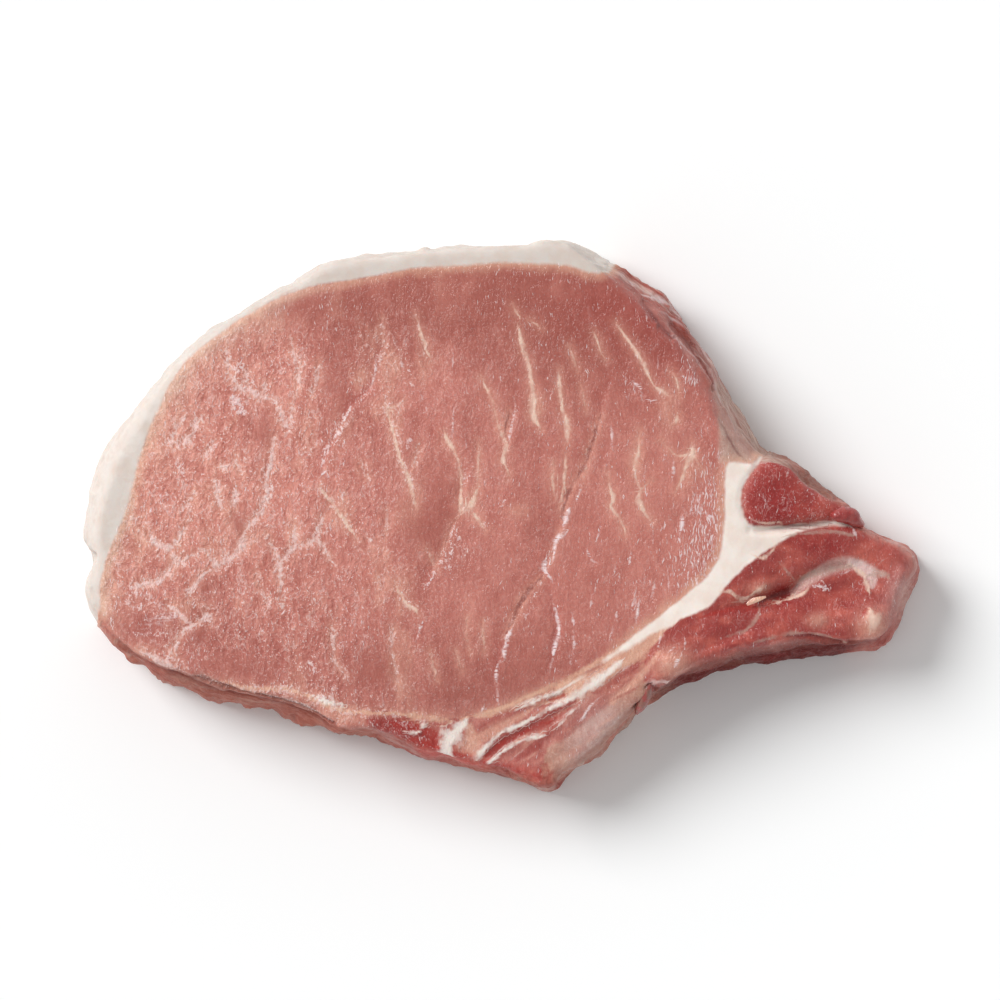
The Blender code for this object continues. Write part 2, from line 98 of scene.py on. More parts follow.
# Strokes on the skin: ink, opacity, depth of the dip they lie in, paths of (x, y, half width).
LINES = [
    # Veins of fat in the loin eye.
    ("vein", 0.9, 0.05, [
        [(3.3, 33.0, 0.1), (3.6, 31.5, 0.35), (4.0, 29.3, 0.45), (5.0, 26.5, 0.28), (5.7, 22.8, 0.42),
         (6.2, 19.6, 0.75), (6.1, 17.2, 0.8), (6.8, 15.4, 0.25), (7.4, 14.4, 0.05)],
        [(10.6, 25.4, 0.05), (10.6, 22.5, 0.32), (11.1, 18.5, 0.32), (11.9, 15.4, 0.5), (12.0, 12.0, 0.05)],
        [(20.6, 33.8, 0.05), (22.4, 31.0, 0.28), (24.4, 28.3, 0.35), (26.0, 25.3, 0.35), (27.2, 22.6, 0.16),
         (28.2, 21.8, 0.28), (29.6, 21.0, 0.5), (30.1, 20.6, 0.1)],
        [(30.4, 25.0, 0.05), (31.6, 23.0, 0.25), (32.0, 20.4, 0.05)],
        [(31.6, 17.4, 0.05), (31.4, 16.1, 0.4), (31.2, 15.6, 0.05)],
        [(-3.4, 24.2, 0.05), (-2.4, 22.0, 0.25), (-1.2, 19.4, 0.15), (-0.3, 15.6, 0.13), (1.0, 12.0, 0.4),
         (0.5, 9.2, 0.42), (1.5, 7.4, 0.18), (1.7, 6.0, 0.05)],
        [(16.6, 32.0, 0.05), (17.3, 30.6, 0.25), (17.8, 28.8, 0.18), (18.8, 27.0, 0.05)],
        [(2.3, 36.8, 0.05), (3.3, 34.9, 0.22)], [(5.2, 34.1, 0.05), (6.3, 33.4, 0.15), (7.4, 32.4, 0.05)],
        [(24.9, 14.5, 0.05), (24.6, 10.5, 0.25), (23.9, 8.2, 0.42), (24.4, 5.5, 0.18), (25.1, 3.8, 0.18),
         (24.6, 2.2, 0.5), (25.2, 1.0, 0.45), (26.0, -0.5, 0.2), (27.1, -1.9, 0.05)],
        [(24.9, 3.5, 0.16), (25.8, 4.6, 0.12), (27.0, 5.6, 0.04)],
        [(19.2, 7.0, 0.05), (19.6, 4.2, 0.2), (20.2, 2.5, 0.42), (19.8, 0.9, 0.3), (21.0, -0.8, 0.18),
         (22.2, -3.0, 0.22), (22.3, -4.4, 0.05)],
        [(34.3, 11.4, 0.2), (34.2, 10.4, 0.75), (33.4, 8.8, 0.4), (32.6, 6.4, 0.25), (31.2, 3.2, 0.05)],
        [(34.2, 10.4, 0.3), (31.9, 9.9, 0.18), (30.3, 10.9, 0.13), (28.8, 12.6, 0.04)],
        [(34.2, 10.4, 0.3), (35.4, 8.6, 0.13), (36.5, 6.5, 0.04)], [(34.2, 10.4, 0.3), (34.3, 12.4, 0.04)],
        [(11.8, 10.6, 0.05), (11.6, 6.8, 0.32), (11.2, 3.5, 0.22), (10.5, 0.4, 0.05)],
        [(9.6, 9.0, 0.05), (9.4, 5.5, 0.2), (9.9, 2.0, 0.05)],
        [(15.3, 11.0, 0.04), (15.3, 8.0, 0.13), (14.9, 5.6, 0.04)],
        [(-14.9, 35.0, 0.05), (-14.2, 32.2, 0.18), (-13.5, 30.3, 0.34), (-13.0, 28.6, 0.38),
         (-12.2, 27.0, 0.05)],
        [(-20.1, 19.8, 0.05), (-20.0, 18.2, 0.34), (-19.3, 15.5, 0.26), (-18.5, 12.5, 0.38),
         (-18.0, 9.9, 0.25), (-17.2, 8.3, 0.36), (-16.2, 6.0, 0.4), (-15.5, 3.2, 0.42), (-14.9, 0.7, 0.08)],
        [(-20.0, 18.3, 0.2), (-18.9, 18.7, 0.26), (-17.9, 18.9, 0.2), (-17.2, 19.8, 0.05)],
        [(-9.8, 14.2, 0.1), (-9.3, 12.8, 0.42), (-7.9, 10.3, 0.22), (-7.1, 7.5, 0.16), (-6.8, 4.0, 0.25),
         (-6.9, 1.0, 0.38), (-7.1, -0.4, 0.1)],
        [(-3.7, 4.8, 0.08), (-4.3, 2.8, 0.32), (-5.2, 1.0, 0.65), (-4.4, -0.6, 0.38), (-3.4, -1.9, 0.3),
         (-2.4, -3.2, 0.06)],
        [(-5.2, 0.9, 0.4), (-6.0, 0.2, 0.28), (-7.2, -0.8, 0.08)],
        [(-31.9, 4.4, 0.08), (-31.2, 3.2, 0.25), (-30.0, 1.8, 0.18), (-28.9, 0.2, 0.25),
         (-27.6, -1.6, 0.42), (-26.6, -3.2, 0.4), (-25.6, -4.7, 0.08)],
        [(-18.9, -12.4, 0.05), (-17.4, -15.0, 0.25), (-16.2, -16.6, 0.4), (-15.2, -17.2, 0.4),
         (-14.5, -18.4, 0.05)],
        [(-12.5, -24.4, 0.04), (-11.7, -27.6, 0.16), (-11.2, -30.0, 0.05)],
        [(-5.8, -18.8, 0.08), (-5.9, -21.5, 0.1), (-5.2, -25.2, 0.05)],
        [(-3.0, -19.4, 0.05), (-2.9, -22.5, 0.16), (-2.7, -25.2, 0.05)],
        [(-7.9, -24.5, 0.04), (-7.2, -26.6, 0.1), (-6.6, -28.4, 0.04)],
        [(-12.9, -6.5, 0.04), (-12.3, -8.2, 0.18), (-11.2, -10.2, 0.04)],
        [(-3.8, 12.5, 0.04), (-3.8, 8.5, 0.18), (-3.9, 5.2, 0.05)],
        [(14.4, 22.6, 0.04), (15.1, 19.4, 0.14), (15.4, 17.8, 0.04)],
        [(12.2, 29.6, 0.04), (13.0, 27.6, 0.15), (13.9, 24.8, 0.05)],
    ]),
    ("lace", 0.62, 0.14, [
        [(-48.8, 28.6, 0.05), (-48.0, 25.2, 0.22), (-47.2, 23.0, 0.34), (-46.3, 22.1, 0.36),
         (-45.4, 21.6, 0.1)],
        [(-45.0, 25.0, 0.1), (-44.4, 22.0, 0.3), (-43.2, 20.6, 0.4), (-42.0, 21.3, 0.4),
         (-41.4, 22.8, 0.08)],
        [(-43.2, 20.6, 0.3), (-40.6, 20.0, 0.32), (-39.5, 18.8, 0.34), (-38.8, 17.0, 0.5),
         (-38.2, 15.6, 0.45), (-37.4, 14.6, 0.06)],
        [(-38.2, 15.6, 0.2), (-37.0, 17.2, 0.22), (-36.8, 19.4, 0.05)],
        [(-36.2, 20.4, 0.08), (-35.9, 23.0, 0.25), (-35.6, 26.0, 0.2), (-36.6, 28.0, 0.25),
         (-37.0, 30.4, 0.06)],
        [(-32.3, 26.6, 0.05), (-32.3, 23.8, 0.22), (-33.4, 21.0, 0.16)],
        [(-57.4, 11.6, 0.08), (-56.4, 12.6, 0.2), (-55.6, 13.3, 0.05)],
        [(-40.0, 13.4, 0.08), (-40.5, 10.5, 0.32), (-40.6, 8.5, 0.34), (-41.3, 6.5, 0.42),
         (-41.6, 5.0, 0.36), (-41.3, 3.4, 0.55), (-42.2, 0.4, 0.42), (-43.8, -1.6, 0.28),
         (-45.4, -3.8, 0.25), (-45.9, -5.9, 0.8), (-47.2, -7.4, 0.28), (-48.4, -8.8, 0.26),
         (-50.2, -10.0, 0.16), (-52.5, -11.0, 0.3), (-54.8, -13.9, 0.3), (-55.4, -14.6, 0.05)],
        [(-50.5, 5.4, 0.1), (-50.2, 3.4, 0.4), (-49.9, 1.6, 0.26), (-49.4, -0.2, 0.05)],
        [(-46.8, 4.4, 0.08), (-47.3, 2.2, 0.45), (-46.8, 0.6, 0.08)],
        [(-52.2, -6.6, 0.08), (-50.9, -8.7, 0.42), (-49.9, -10.0, 0.12)],
        [(-49.2, -5.8, 0.04), (-48.6, -8.6, 0.16)],
        [(-55.2, -1.8, 0.08), (-56.8, -4.4, 0.16), (-57.9, -5.8, 0.18), (-59.2, -6.3, 0.18),
         (-60.9, -5.8, 0.5), (-62.4, -3.8, 0.1)],
        [(-59.2, -6.4, 0.18), (-57.4, -8.7, 0.25)],
        [(-53.2, -7.0, 0.06), (-56.5, -8.8, 0.2), (-58.0, -9.3, 0.22), (-59.5, -11.0, 0.22),
         (-60.3, -12.2, 0.25), (-62.0, -12.6, 0.34), (-64.6, -13.1, 0.4), (-65.6, -13.3, 0.08)],
        [(-59.6, -16.4, 0.08), (-58.2, -17.2, 0.32), (-56.8, -18.2, 0.4), (-55.6, -19.6, 0.25),
         (-54.3, -20.0, 0.25), (-52.9, -19.3, 0.4), (-52.0, -18.3, 0.55), (-51.2, -20.0, 0.08)],
        [(-54.3, -20.0, 0.25), (-56.2, -21.2, 0.32), (-57.2, -23.0, 0.3), (-57.4, -24.6, 0.05)],
        [(-36.6, -3.0, 0.1), (-36.3, -5.6, 0.55), (-37.4, -7.2, 0.34), (-38.6, -8.5, 0.34),
         (-39.3, -9.6, 0.3), (-39.0, -11.4, 0.25), (-38.8, -14.0, 0.2), (-38.5, -17.2, 0.05)],
        [(-36.3, -5.6, 0.3), (-34.8, -5.9, 0.16), (-33.0, -4.9, 0.34), (-32.2, -3.2, 0.28),
         (-31.3, -0.4, 0.06)],
        [(-33.0, -4.9, 0.25), (-31.8, -5.8, 0.16), (-30.7, -7.4, 0.16), (-29.5, -9.2, 0.05)],
        [(-41.4, -3.6, 0.04), (-40.2, -6.5, 0.13), (-39.5, -9.0, 0.16)],
        [(-29.9, -20.4, 0.05), (-29.8, -21.4, 0.3), (-29.5, -24.5, 0.1)],
        [(-29.5, -25.4, 0.05), (-29.2, -27.0, 0.2), (-27.2, -29.2, 0.08)],
        [(-43.4, -10.6, 0.04), (-42.5, -13.5, 0.13), (-40.8, -16.2, 0.04)],
        [(-19.0, -20.6, 0.1), (-19.1, -22.6, 0.22), (-19.1, -25.0, 0.08), (-18.6, -27.5, 0.14),
         (-18.1, -30.0, 0.1)],
        [(-56.4, 16.4, 0.05), (-57.5, 14.6, 0.22), (-58.5, 13.0, 0.2)],
        [(-53.0, 16.8, 0.05), (-54.3, 14.9, 0.2), (-54.9, 12.4, 0.05)],
        [(-50.6, 12.8, 0.05), (-51.8, 11.0, 0.25), (-52.6, 9.2, 0.2)],
        [(-50.2, 8.3, 0.05), (-49.2, 8.0, 0.2), (-48.0, 8.1, 0.05)],
        [(-46.9, 10.0, 0.05), (-46.4, 7.8, 0.25), (-45.7, 6.6, 0.05)],
        [(-54.4, 3.2, 0.05), (-55.2, 1.8, 0.25), (-56.4, 0.6, 0.05)],
        [(-20.0, 0.4, 0.04), (-20.0, -1.8, 0.2), (-20.2, -4.4, 0.04)],
        [(-24.0, 8.4, 0.04), (-23.4, 5.8, 0.12)], [(-14.3, 11.8, 0.05), (-15.1, 8.8, 0.16)],
        [(-20.9, 34.4, 0.04), (-20.8, 31.6, 0.14), (-20.6, 30.0, 0.04)],
    ]),
    # Thin pale streaks in the glint tone.
    ("glint", 0.6, 0.0, [
        [(-66.5, -16.4, 0.04), (-65.2, -16.9, 0.13), (-63.6, -17.3, 0.04)],
        [(-62.6, -16.0, 0.04), (-60.0, -16.6, 0.12)],
        [(-64.0, -19.5, 0.04), (-60.8, -18.9, 0.2), (-57.8, -18.7, 0.12)],
        [(-64.9, -20.0, 0.04), (-62.2, -20.1, 0.14)],
        [(-62.0, -19.8, 0.04), (-60.2, -20.0, 0.13), (-58.2, -20.5, 0.04)],
        [(-65.6, -21.4, 0.04), (-63.0, -21.8, 0.12), (-60.8, -21.9, 0.04)],
        [(-60.6, -21.5, 0.04), (-59.4, -21.6, 0.12), (-58.0, -21.8, 0.04)],
        [(-67.2, -1.9, 0.05), (-65.2, -1.2, 0.14)], [(-64.6, -1.5, 0.04), (-62.4, -1.9, 0.12)],
        [(-69.4, -7.6, 0.04), (-68.0, -9.8, 0.12)],
        [(-65.8, -13.4, 0.05), (-65.0, -14.6, 0.12), (-62.2, -15.2, 0.04)],
    ]),
    # The dark bottom of the creases, in painted shade.
    ("maroon", 0.62, 0.03, [
        [(17.8, 17.0, 0.16), (16.4, 12.4, 0.36), (14.9, 8.0, 0.46), (12.8, 4.6, 0.42), (11.4, 1.2, 0.3),
         (11.1, -1.2, 0.2)],
        [(10.6, -3.0, 0.1), (9.6, -6.2, 0.12), (9.0, -9.0, 0.1)],
        [(7.4, -11.6, 0.25), (4.9, -14.2, 0.48), (3.0, -17.6, 0.5), (1.7, -20.4, 0.35), (0.9, -22.0, 0.12)],
        [(-7.2, -0.6, 0.1), (-8.6, -2.4, 0.13), (-9.6, -5.4, 0.16), (-11.2, -8.8, 0.16)],
        [(1.6, 17.8, 0.1), (1.0, 14.8, 0.25), (0.9, 13.2, 0.08)],
    ]),
    # The lower strip: pale fat between its muscles, then its muscles.
    ("fat", 0.95, -0.12, [
        [(-9.0, -44.4, 0.8), (-9.5, -42.4, 1.6), (-9.0, -40.8, 2.1), (-7.9, -39.3, 1.9), (-6.6, -37.8, 1.0),
         (-5.6, -36.8, 0.2)],
        [(-4.0, -43.9, 0.6), (-3.0, -42.6, 0.75), (-1.5, -40.9, 0.55), (0.3, -39.5, 0.5),
         (3.5, -38.0, 0.42), (6.5, -36.4, 0.36), (9.0, -35.0, 0.4), (11.8, -33.6, 0.7), (14.8, -31.8, 0.9),
         (18.2, -29.4, 1.0), (21.4, -26.8, 0.6)],
        [(-2.2, -44.9, 0.3), (0.0, -43.1, 0.42), (2.2, -41.6, 0.48), (5.4, -40.3, 0.46), (8.0, -39.9, 0.2)],
        [(9.6, -38.8, 0.15), (11.2, -37.4, 0.26), (12.4, -35.9, 0.25), (14.2, -34.4, 0.1)],
        [(2.2, -35.5, 0.1), (5.0, -34.3, 0.32), (8.0, -32.9, 0.34), (10.8, -31.7, 0.12)],
        [(-16.6, -39.4, 0.12), (-14.9, -39.3, 0.36), (-13.6, -38.4, 0.7), (-13.4, -37.5, 0.5)],
        [(-33.3, -32.8, 0.2), (-31.6, -33.6, 0.7), (-29.6, -34.1, 0.7), (-27.9, -34.2, 0.15)],
    ]),
    ("halo", 0.7, 0.0, [
        [(-49.0, -30.2, 0.2), (-44.5, -31.5, 0.45), (-40.0, -31.5, 0.4), (-36.0, -32.0, 0.4),
         (-30.0, -34.8, 0.35), (-24.0, -35.8, 0.35), (-18.0, -36.0, 0.45), (-12.2, -36.8, 0.8),
         (-9.0, -37.2, 0.6)],
        [(-7.0, -37.0, 0.3), (-3.0, -35.9, 0.35), (1.0, -34.8, 0.35), (6.0, -32.6, 0.5),
         (12.0, -30.4, 0.6)],
    ]),
    ("blood", 0.8, 0.15, [
        [(-2.6, -43.8, 0.5), (0.6, -41.2, 0.55), (4.0, -39.5, 0.5), (8.0, -37.9, 0.55),
         (12.6, -35.0, 0.25)],
        [(-18.6, -37.8, 0.5), (-16.2, -38.2, 0.6), (-11.6, -39.6, 0.9), (-12.6, -41.4, 1.2),
         (-16.0, -40.8, 0.7)],
        [(9.4, -33.4, 0.4), (11.6, -32.6, 0.45)],
        [(-8.4, -44.6, 0.3), (-4.6, -45.1, 0.8), (-1.2, -46.0, 0.8), (2.2, -46.9, 0.6), (5.4, -47.6, 0.3)],
        [(7.2, -46.2, 0.3), (8.1, -45.5, 0.55), (8.5, -46.2, 0.3)],
        [(35.0, -19.0, 0.1), (39.4, -17.7, 0.4), (44.4, -16.6, 0.4)],
        [(64.6, -18.4, 0.2), (65.1, -17.8, 0.3)],
        [(50.8, -2.6, 0.06), (55.0, -2.4, 0.2), (59.0, -1.8, 0.1)],
    ]),
    ("rib", 0.55, 0.05, [
        [(12.6, -29.8, 0.05), (16.0, -28.3, 0.2), (18.5, -27.2, 0.14)],
        [(19.4, -33.9, 0.1), (22.5, -32.3, 0.3), (25.2, -30.8, 0.1)],
        [(14.8, -32.3, 0.1), (17.8, -31.9, 0.4), (21.4, -29.4, 0.5), (25.4, -26.9, 0.3)],
    ]),
    # The rib meat: membranes, white fat and the dark lines between its lobes, painted shade in the folds.
    ("vein", 0.9, -0.1, [
        [(39.6, -14.2, 0.12), (41.0, -14.2, 0.28), (42.0, -15.0, 0.34), (43.4, -15.4, 0.3),
         (44.6, -14.9, 0.3), (45.7, -14.0, 0.55), (46.8, -13.0, 0.3), (47.4, -12.4, 0.05)],
        [(48.0, -16.6, 0.08), (50.5, -15.8, 0.28), (52.5, -15.2, 0.32), (54.0, -14.6, 0.32),
         (55.3, -13.4, 0.1)],
        [(45.0, -7.7, 0.1), (46.8, -8.2, 0.4), (48.3, -7.3, 0.28), (49.3, -5.6, 0.1)],
        [(65.2, -11.8, 0.3), (65.5, -13.0, 0.5), (65.9, -14.2, 0.25)],
        [(62.6, -9.5, 0.2), (63.8, -10.3, 0.36), (65.0, -11.4, 0.6)],
        [(66.0, -18.0, 0.6), (66.4, -19.2, 1.2), (66.1, -20.6, 0.7)],
        [(45.0, -1.5, 0.08), (47.0, -2.1, 0.22), (49.8, -1.9, 0.2), (50.8, -2.5, 0.05)],
    ]),
    ("membrane", 0.6, 0.0, [
        [(65.6, -11.4, 0.5), (67.4, -11.1, 0.85), (69.0, -11.2, 0.45), (69.6, -12.4, 0.1)],
        [(52.2, -13.6, 0.3), (54.4, -11.9, 0.65), (57.2, -11.0, 0.8), (60.4, -10.4, 0.6),
         (62.8, -9.9, 0.3)],
        [(50.2, -9.4, 0.2), (51.5, -11.0, 0.26), (53.0, -12.7, 0.2)],
        [(60.7, -7.1, 0.05), (61.3, -9.0, 0.13)],
        [(44.2, -23.7, 0.08), (48.0, -22.4, 0.3), (51.0, -21.8, 0.34), (55.0, -21.6, 0.36),
         (58.0, -22.2, 0.3), (61.0, -23.2, 0.3), (63.8, -24.4, 0.1)],
        [(46.3, -17.0, 0.25), (45.6, -19.2, 0.45), (43.8, -21.0, 0.4), (40.8, -22.1, 0.2)],
        [(50.8, -4.3, 0.2), (54.6, -3.8, 0.5), (59.0, -3.4, 0.5), (63.0, -4.2, 0.3)],
    ]),
    ("maroon", 0.6, 0.35, [
        [(46.6, -16.0, 0.1), (49.0, -15.0, 0.3), (51.6, -14.6, 0.3), (53.4, -13.5, 0.1)],
        [(51.0, -22.3, 0.04), (55.0, -22.2, 0.12), (58.5, -23.0, 0.14), (62.0, -23.5, 0.14),
         (65.8, -23.4, 0.05)],
        [(26.0, -31.2, 0.1), (26.6, -30.7, 0.25), (28.0, -31.6, 0.1)],
    ]),
    # The crack along the ragged foot, in painted shade.
    ("maroon", 0.75, 0.5, [
        [(-61.0, -28.2, 0.08), (-57.5, -29.2, 0.3), (-55.0, -30.0, 0.2), (-53.0, -29.7, 0.34),
         (-50.4, -30.8, 0.16), (-47.6, -31.4, 0.22), (-45.0, -32.4, 0.12), (-43.0, -32.9, 0.25),
         (-40.0, -33.7, 0.3), (-37.0, -34.4, 0.34), (-34.5, -35.2, 0.36), (-32.0, -36.8, 0.34),
         (-29.6, -37.8, 0.1)],
    ]),
    # A pale shiny membrane at the lower left, its line partly a painted highlight, and a pale patch by the
    # flap.
    ("lace", 0.85, -0.1, [
        [(-64.2, -24.6, 0.1), (-62.0, -25.7, 0.45), (-60.0, -26.9, 0.65), (-58.0, -27.6, 0.3)],
        [(-59.2, -24.2, 0.1), (-58.3, -25.2, 0.4), (-57.4, -26.0, 0.08)],
        [(26.2, -30.4, 0.3), (28.0, -30.2, 0.5), (30.2, -30.0, 0.25)],
    ]),
]

# Lines on the outer wall beside the loin eye, in the same form: pale folds in the glint tone, and dark
# lines between them in painted shade.
WALL_LINES = [
    ("glint", 0.6, -0.15, [
        [(19.6, 44.0, 0.05), (22.0, 42.2, 0.14), (24.0, 40.4, 0.2), (25.2, 38.8, 0.1)],
        [(25.4, 38.6, 0.2), (27.4, 38.0, 0.42), (29.6, 36.9, 0.42), (32.2, 35.0, 0.2)],
        [(28.4, 35.6, 0.05), (30.4, 34.6, 0.2), (33.4, 32.0, 0.05)],
        [(27.8, 33.6, 0.05), (31.0, 31.0, 0.16), (34.6, 27.0, 0.16), (37.2, 22.6, 0.1)],
        [(33.4, 31.2, 0.05), (36.2, 27.6, 0.16), (39.0, 22.4, 0.06)],
        [(36.4, 25.2, 0.05), (38.6, 21.0, 0.2), (40.8, 16.8, 0.12), (42.2, 13.4, 0.06)],
    ]),
    ("maroon", 0.6, 0.3, [
        [(25.6, 37.6, 0.1), (27.4, 34.8, 0.3), (29.4, 32.4, 0.34), (31.4, 30.6, 0.1)],
        [(30.6, 33.4, 0.05), (33.4, 30.2, 0.2), (36.0, 25.8, 0.16), (38.0, 21.6, 0.05)],
        [(33.2, 34.2, 0.1), (35.4, 30.6, 0.25), (37.6, 26.6, 0.1)],
        [(38.4, 18.0, 0.05), (40.6, 13.8, 0.2), (42.6, 10.4, 0.2), (44.0, 9.2, 0.05)],
    ]),
]

# Streaks thick with pale granules, partly painted glints, as (x, y, half width).
FROST = [
    [(-20.8, 29.8, 0.15), (-21.4, 27.0, 0.2), (-22.0, 25.0, 0.3), (-22.4, 23.4, 0.35), (-22.8, 21.8, 0.25)],
    [(-25.3, 19.8, 0.3), (-26.3, 18.6, 0.35), (-27.4, 16.5, 0.65), (-28.3, 15.0, 0.6), (-29.3, 13.0, 0.7),
     (-30.3, 11.6, 0.6), (-31.2, 9.6, 0.4), (-31.8, 8.0, 0.2)],
    [(-7.7, -1.4, 0.25), (-8.1, -3.0, 0.8), (-8.1, -5.4, 1.2), (-9.0, -6.9, 1.1), (-10.3, -8.8, 0.6)],
    [(-6.0, -6.2, 0.2), (-6.0, -7.6, 0.3)], [(-9.3, -10.0, 0.5), (-8.6, -11.8, 0.4)],
    [(-11.7, -10.4, 0.4), (-12.6, -12.2, 0.6), (-13.6, -13.9, 0.3)],
    [(-15.4, 13.9, 0.3), (-16.4, 12.0, 0.45), (-17.6, 9.6, 0.25)],
    [(-5.5, 7.8, 0.1), (-5.8, 6.4, 0.35), (-6.5, 4.8, 0.2)],
    [(7.4, -12.6, 0.25), (6.0, -15.2, 0.3), (4.8, -17.6, 0.35), (4.5, -19.6, 0.1)],
    [(-62.6, 3.3, 0.35), (-60.6, 3.2, 0.4), (-58.2, 3.0, 0.35)],
    [(-16.8, 27.4, 0.2), (-16.0, 24.0, 0.35), (-15.6, 22.0, 0.25)],
    [(-33.6, -27.0, 0.7), (-33.0, -28.4, 0.4)], [(-24.2, -22.8, 0.35), (-23.6, -21.8, 0.2)],
    [(-22.9, -5.1, 0.5), (-22.2, -4.6, 0.2)], [(1.0, 2.6, 0.2), (0.4, 1.2, 0.25)],
    [(-1.0, -1.8, 0.1), (-3.2, -2.4, 0.5)], [(56.0, -13.2, 0.9), (58.2, -13.4, 0.9)],
    [(-2.0, -36.8, 0.5), (0.0, -36.2, 0.6)], [(-47.0, 20.0, 1.0), (-46.0, 18.0, 1.0)],
    [(-46.8, 25.4, 0.7), (-46.0, 26.0, 0.5)], [(-57.4, 8.6, 0.3), (-56.2, 6.6, 0.3)],
    [(-41.0, 4.2, 0.7), (-41.2, 3.0, 0.7)],
]
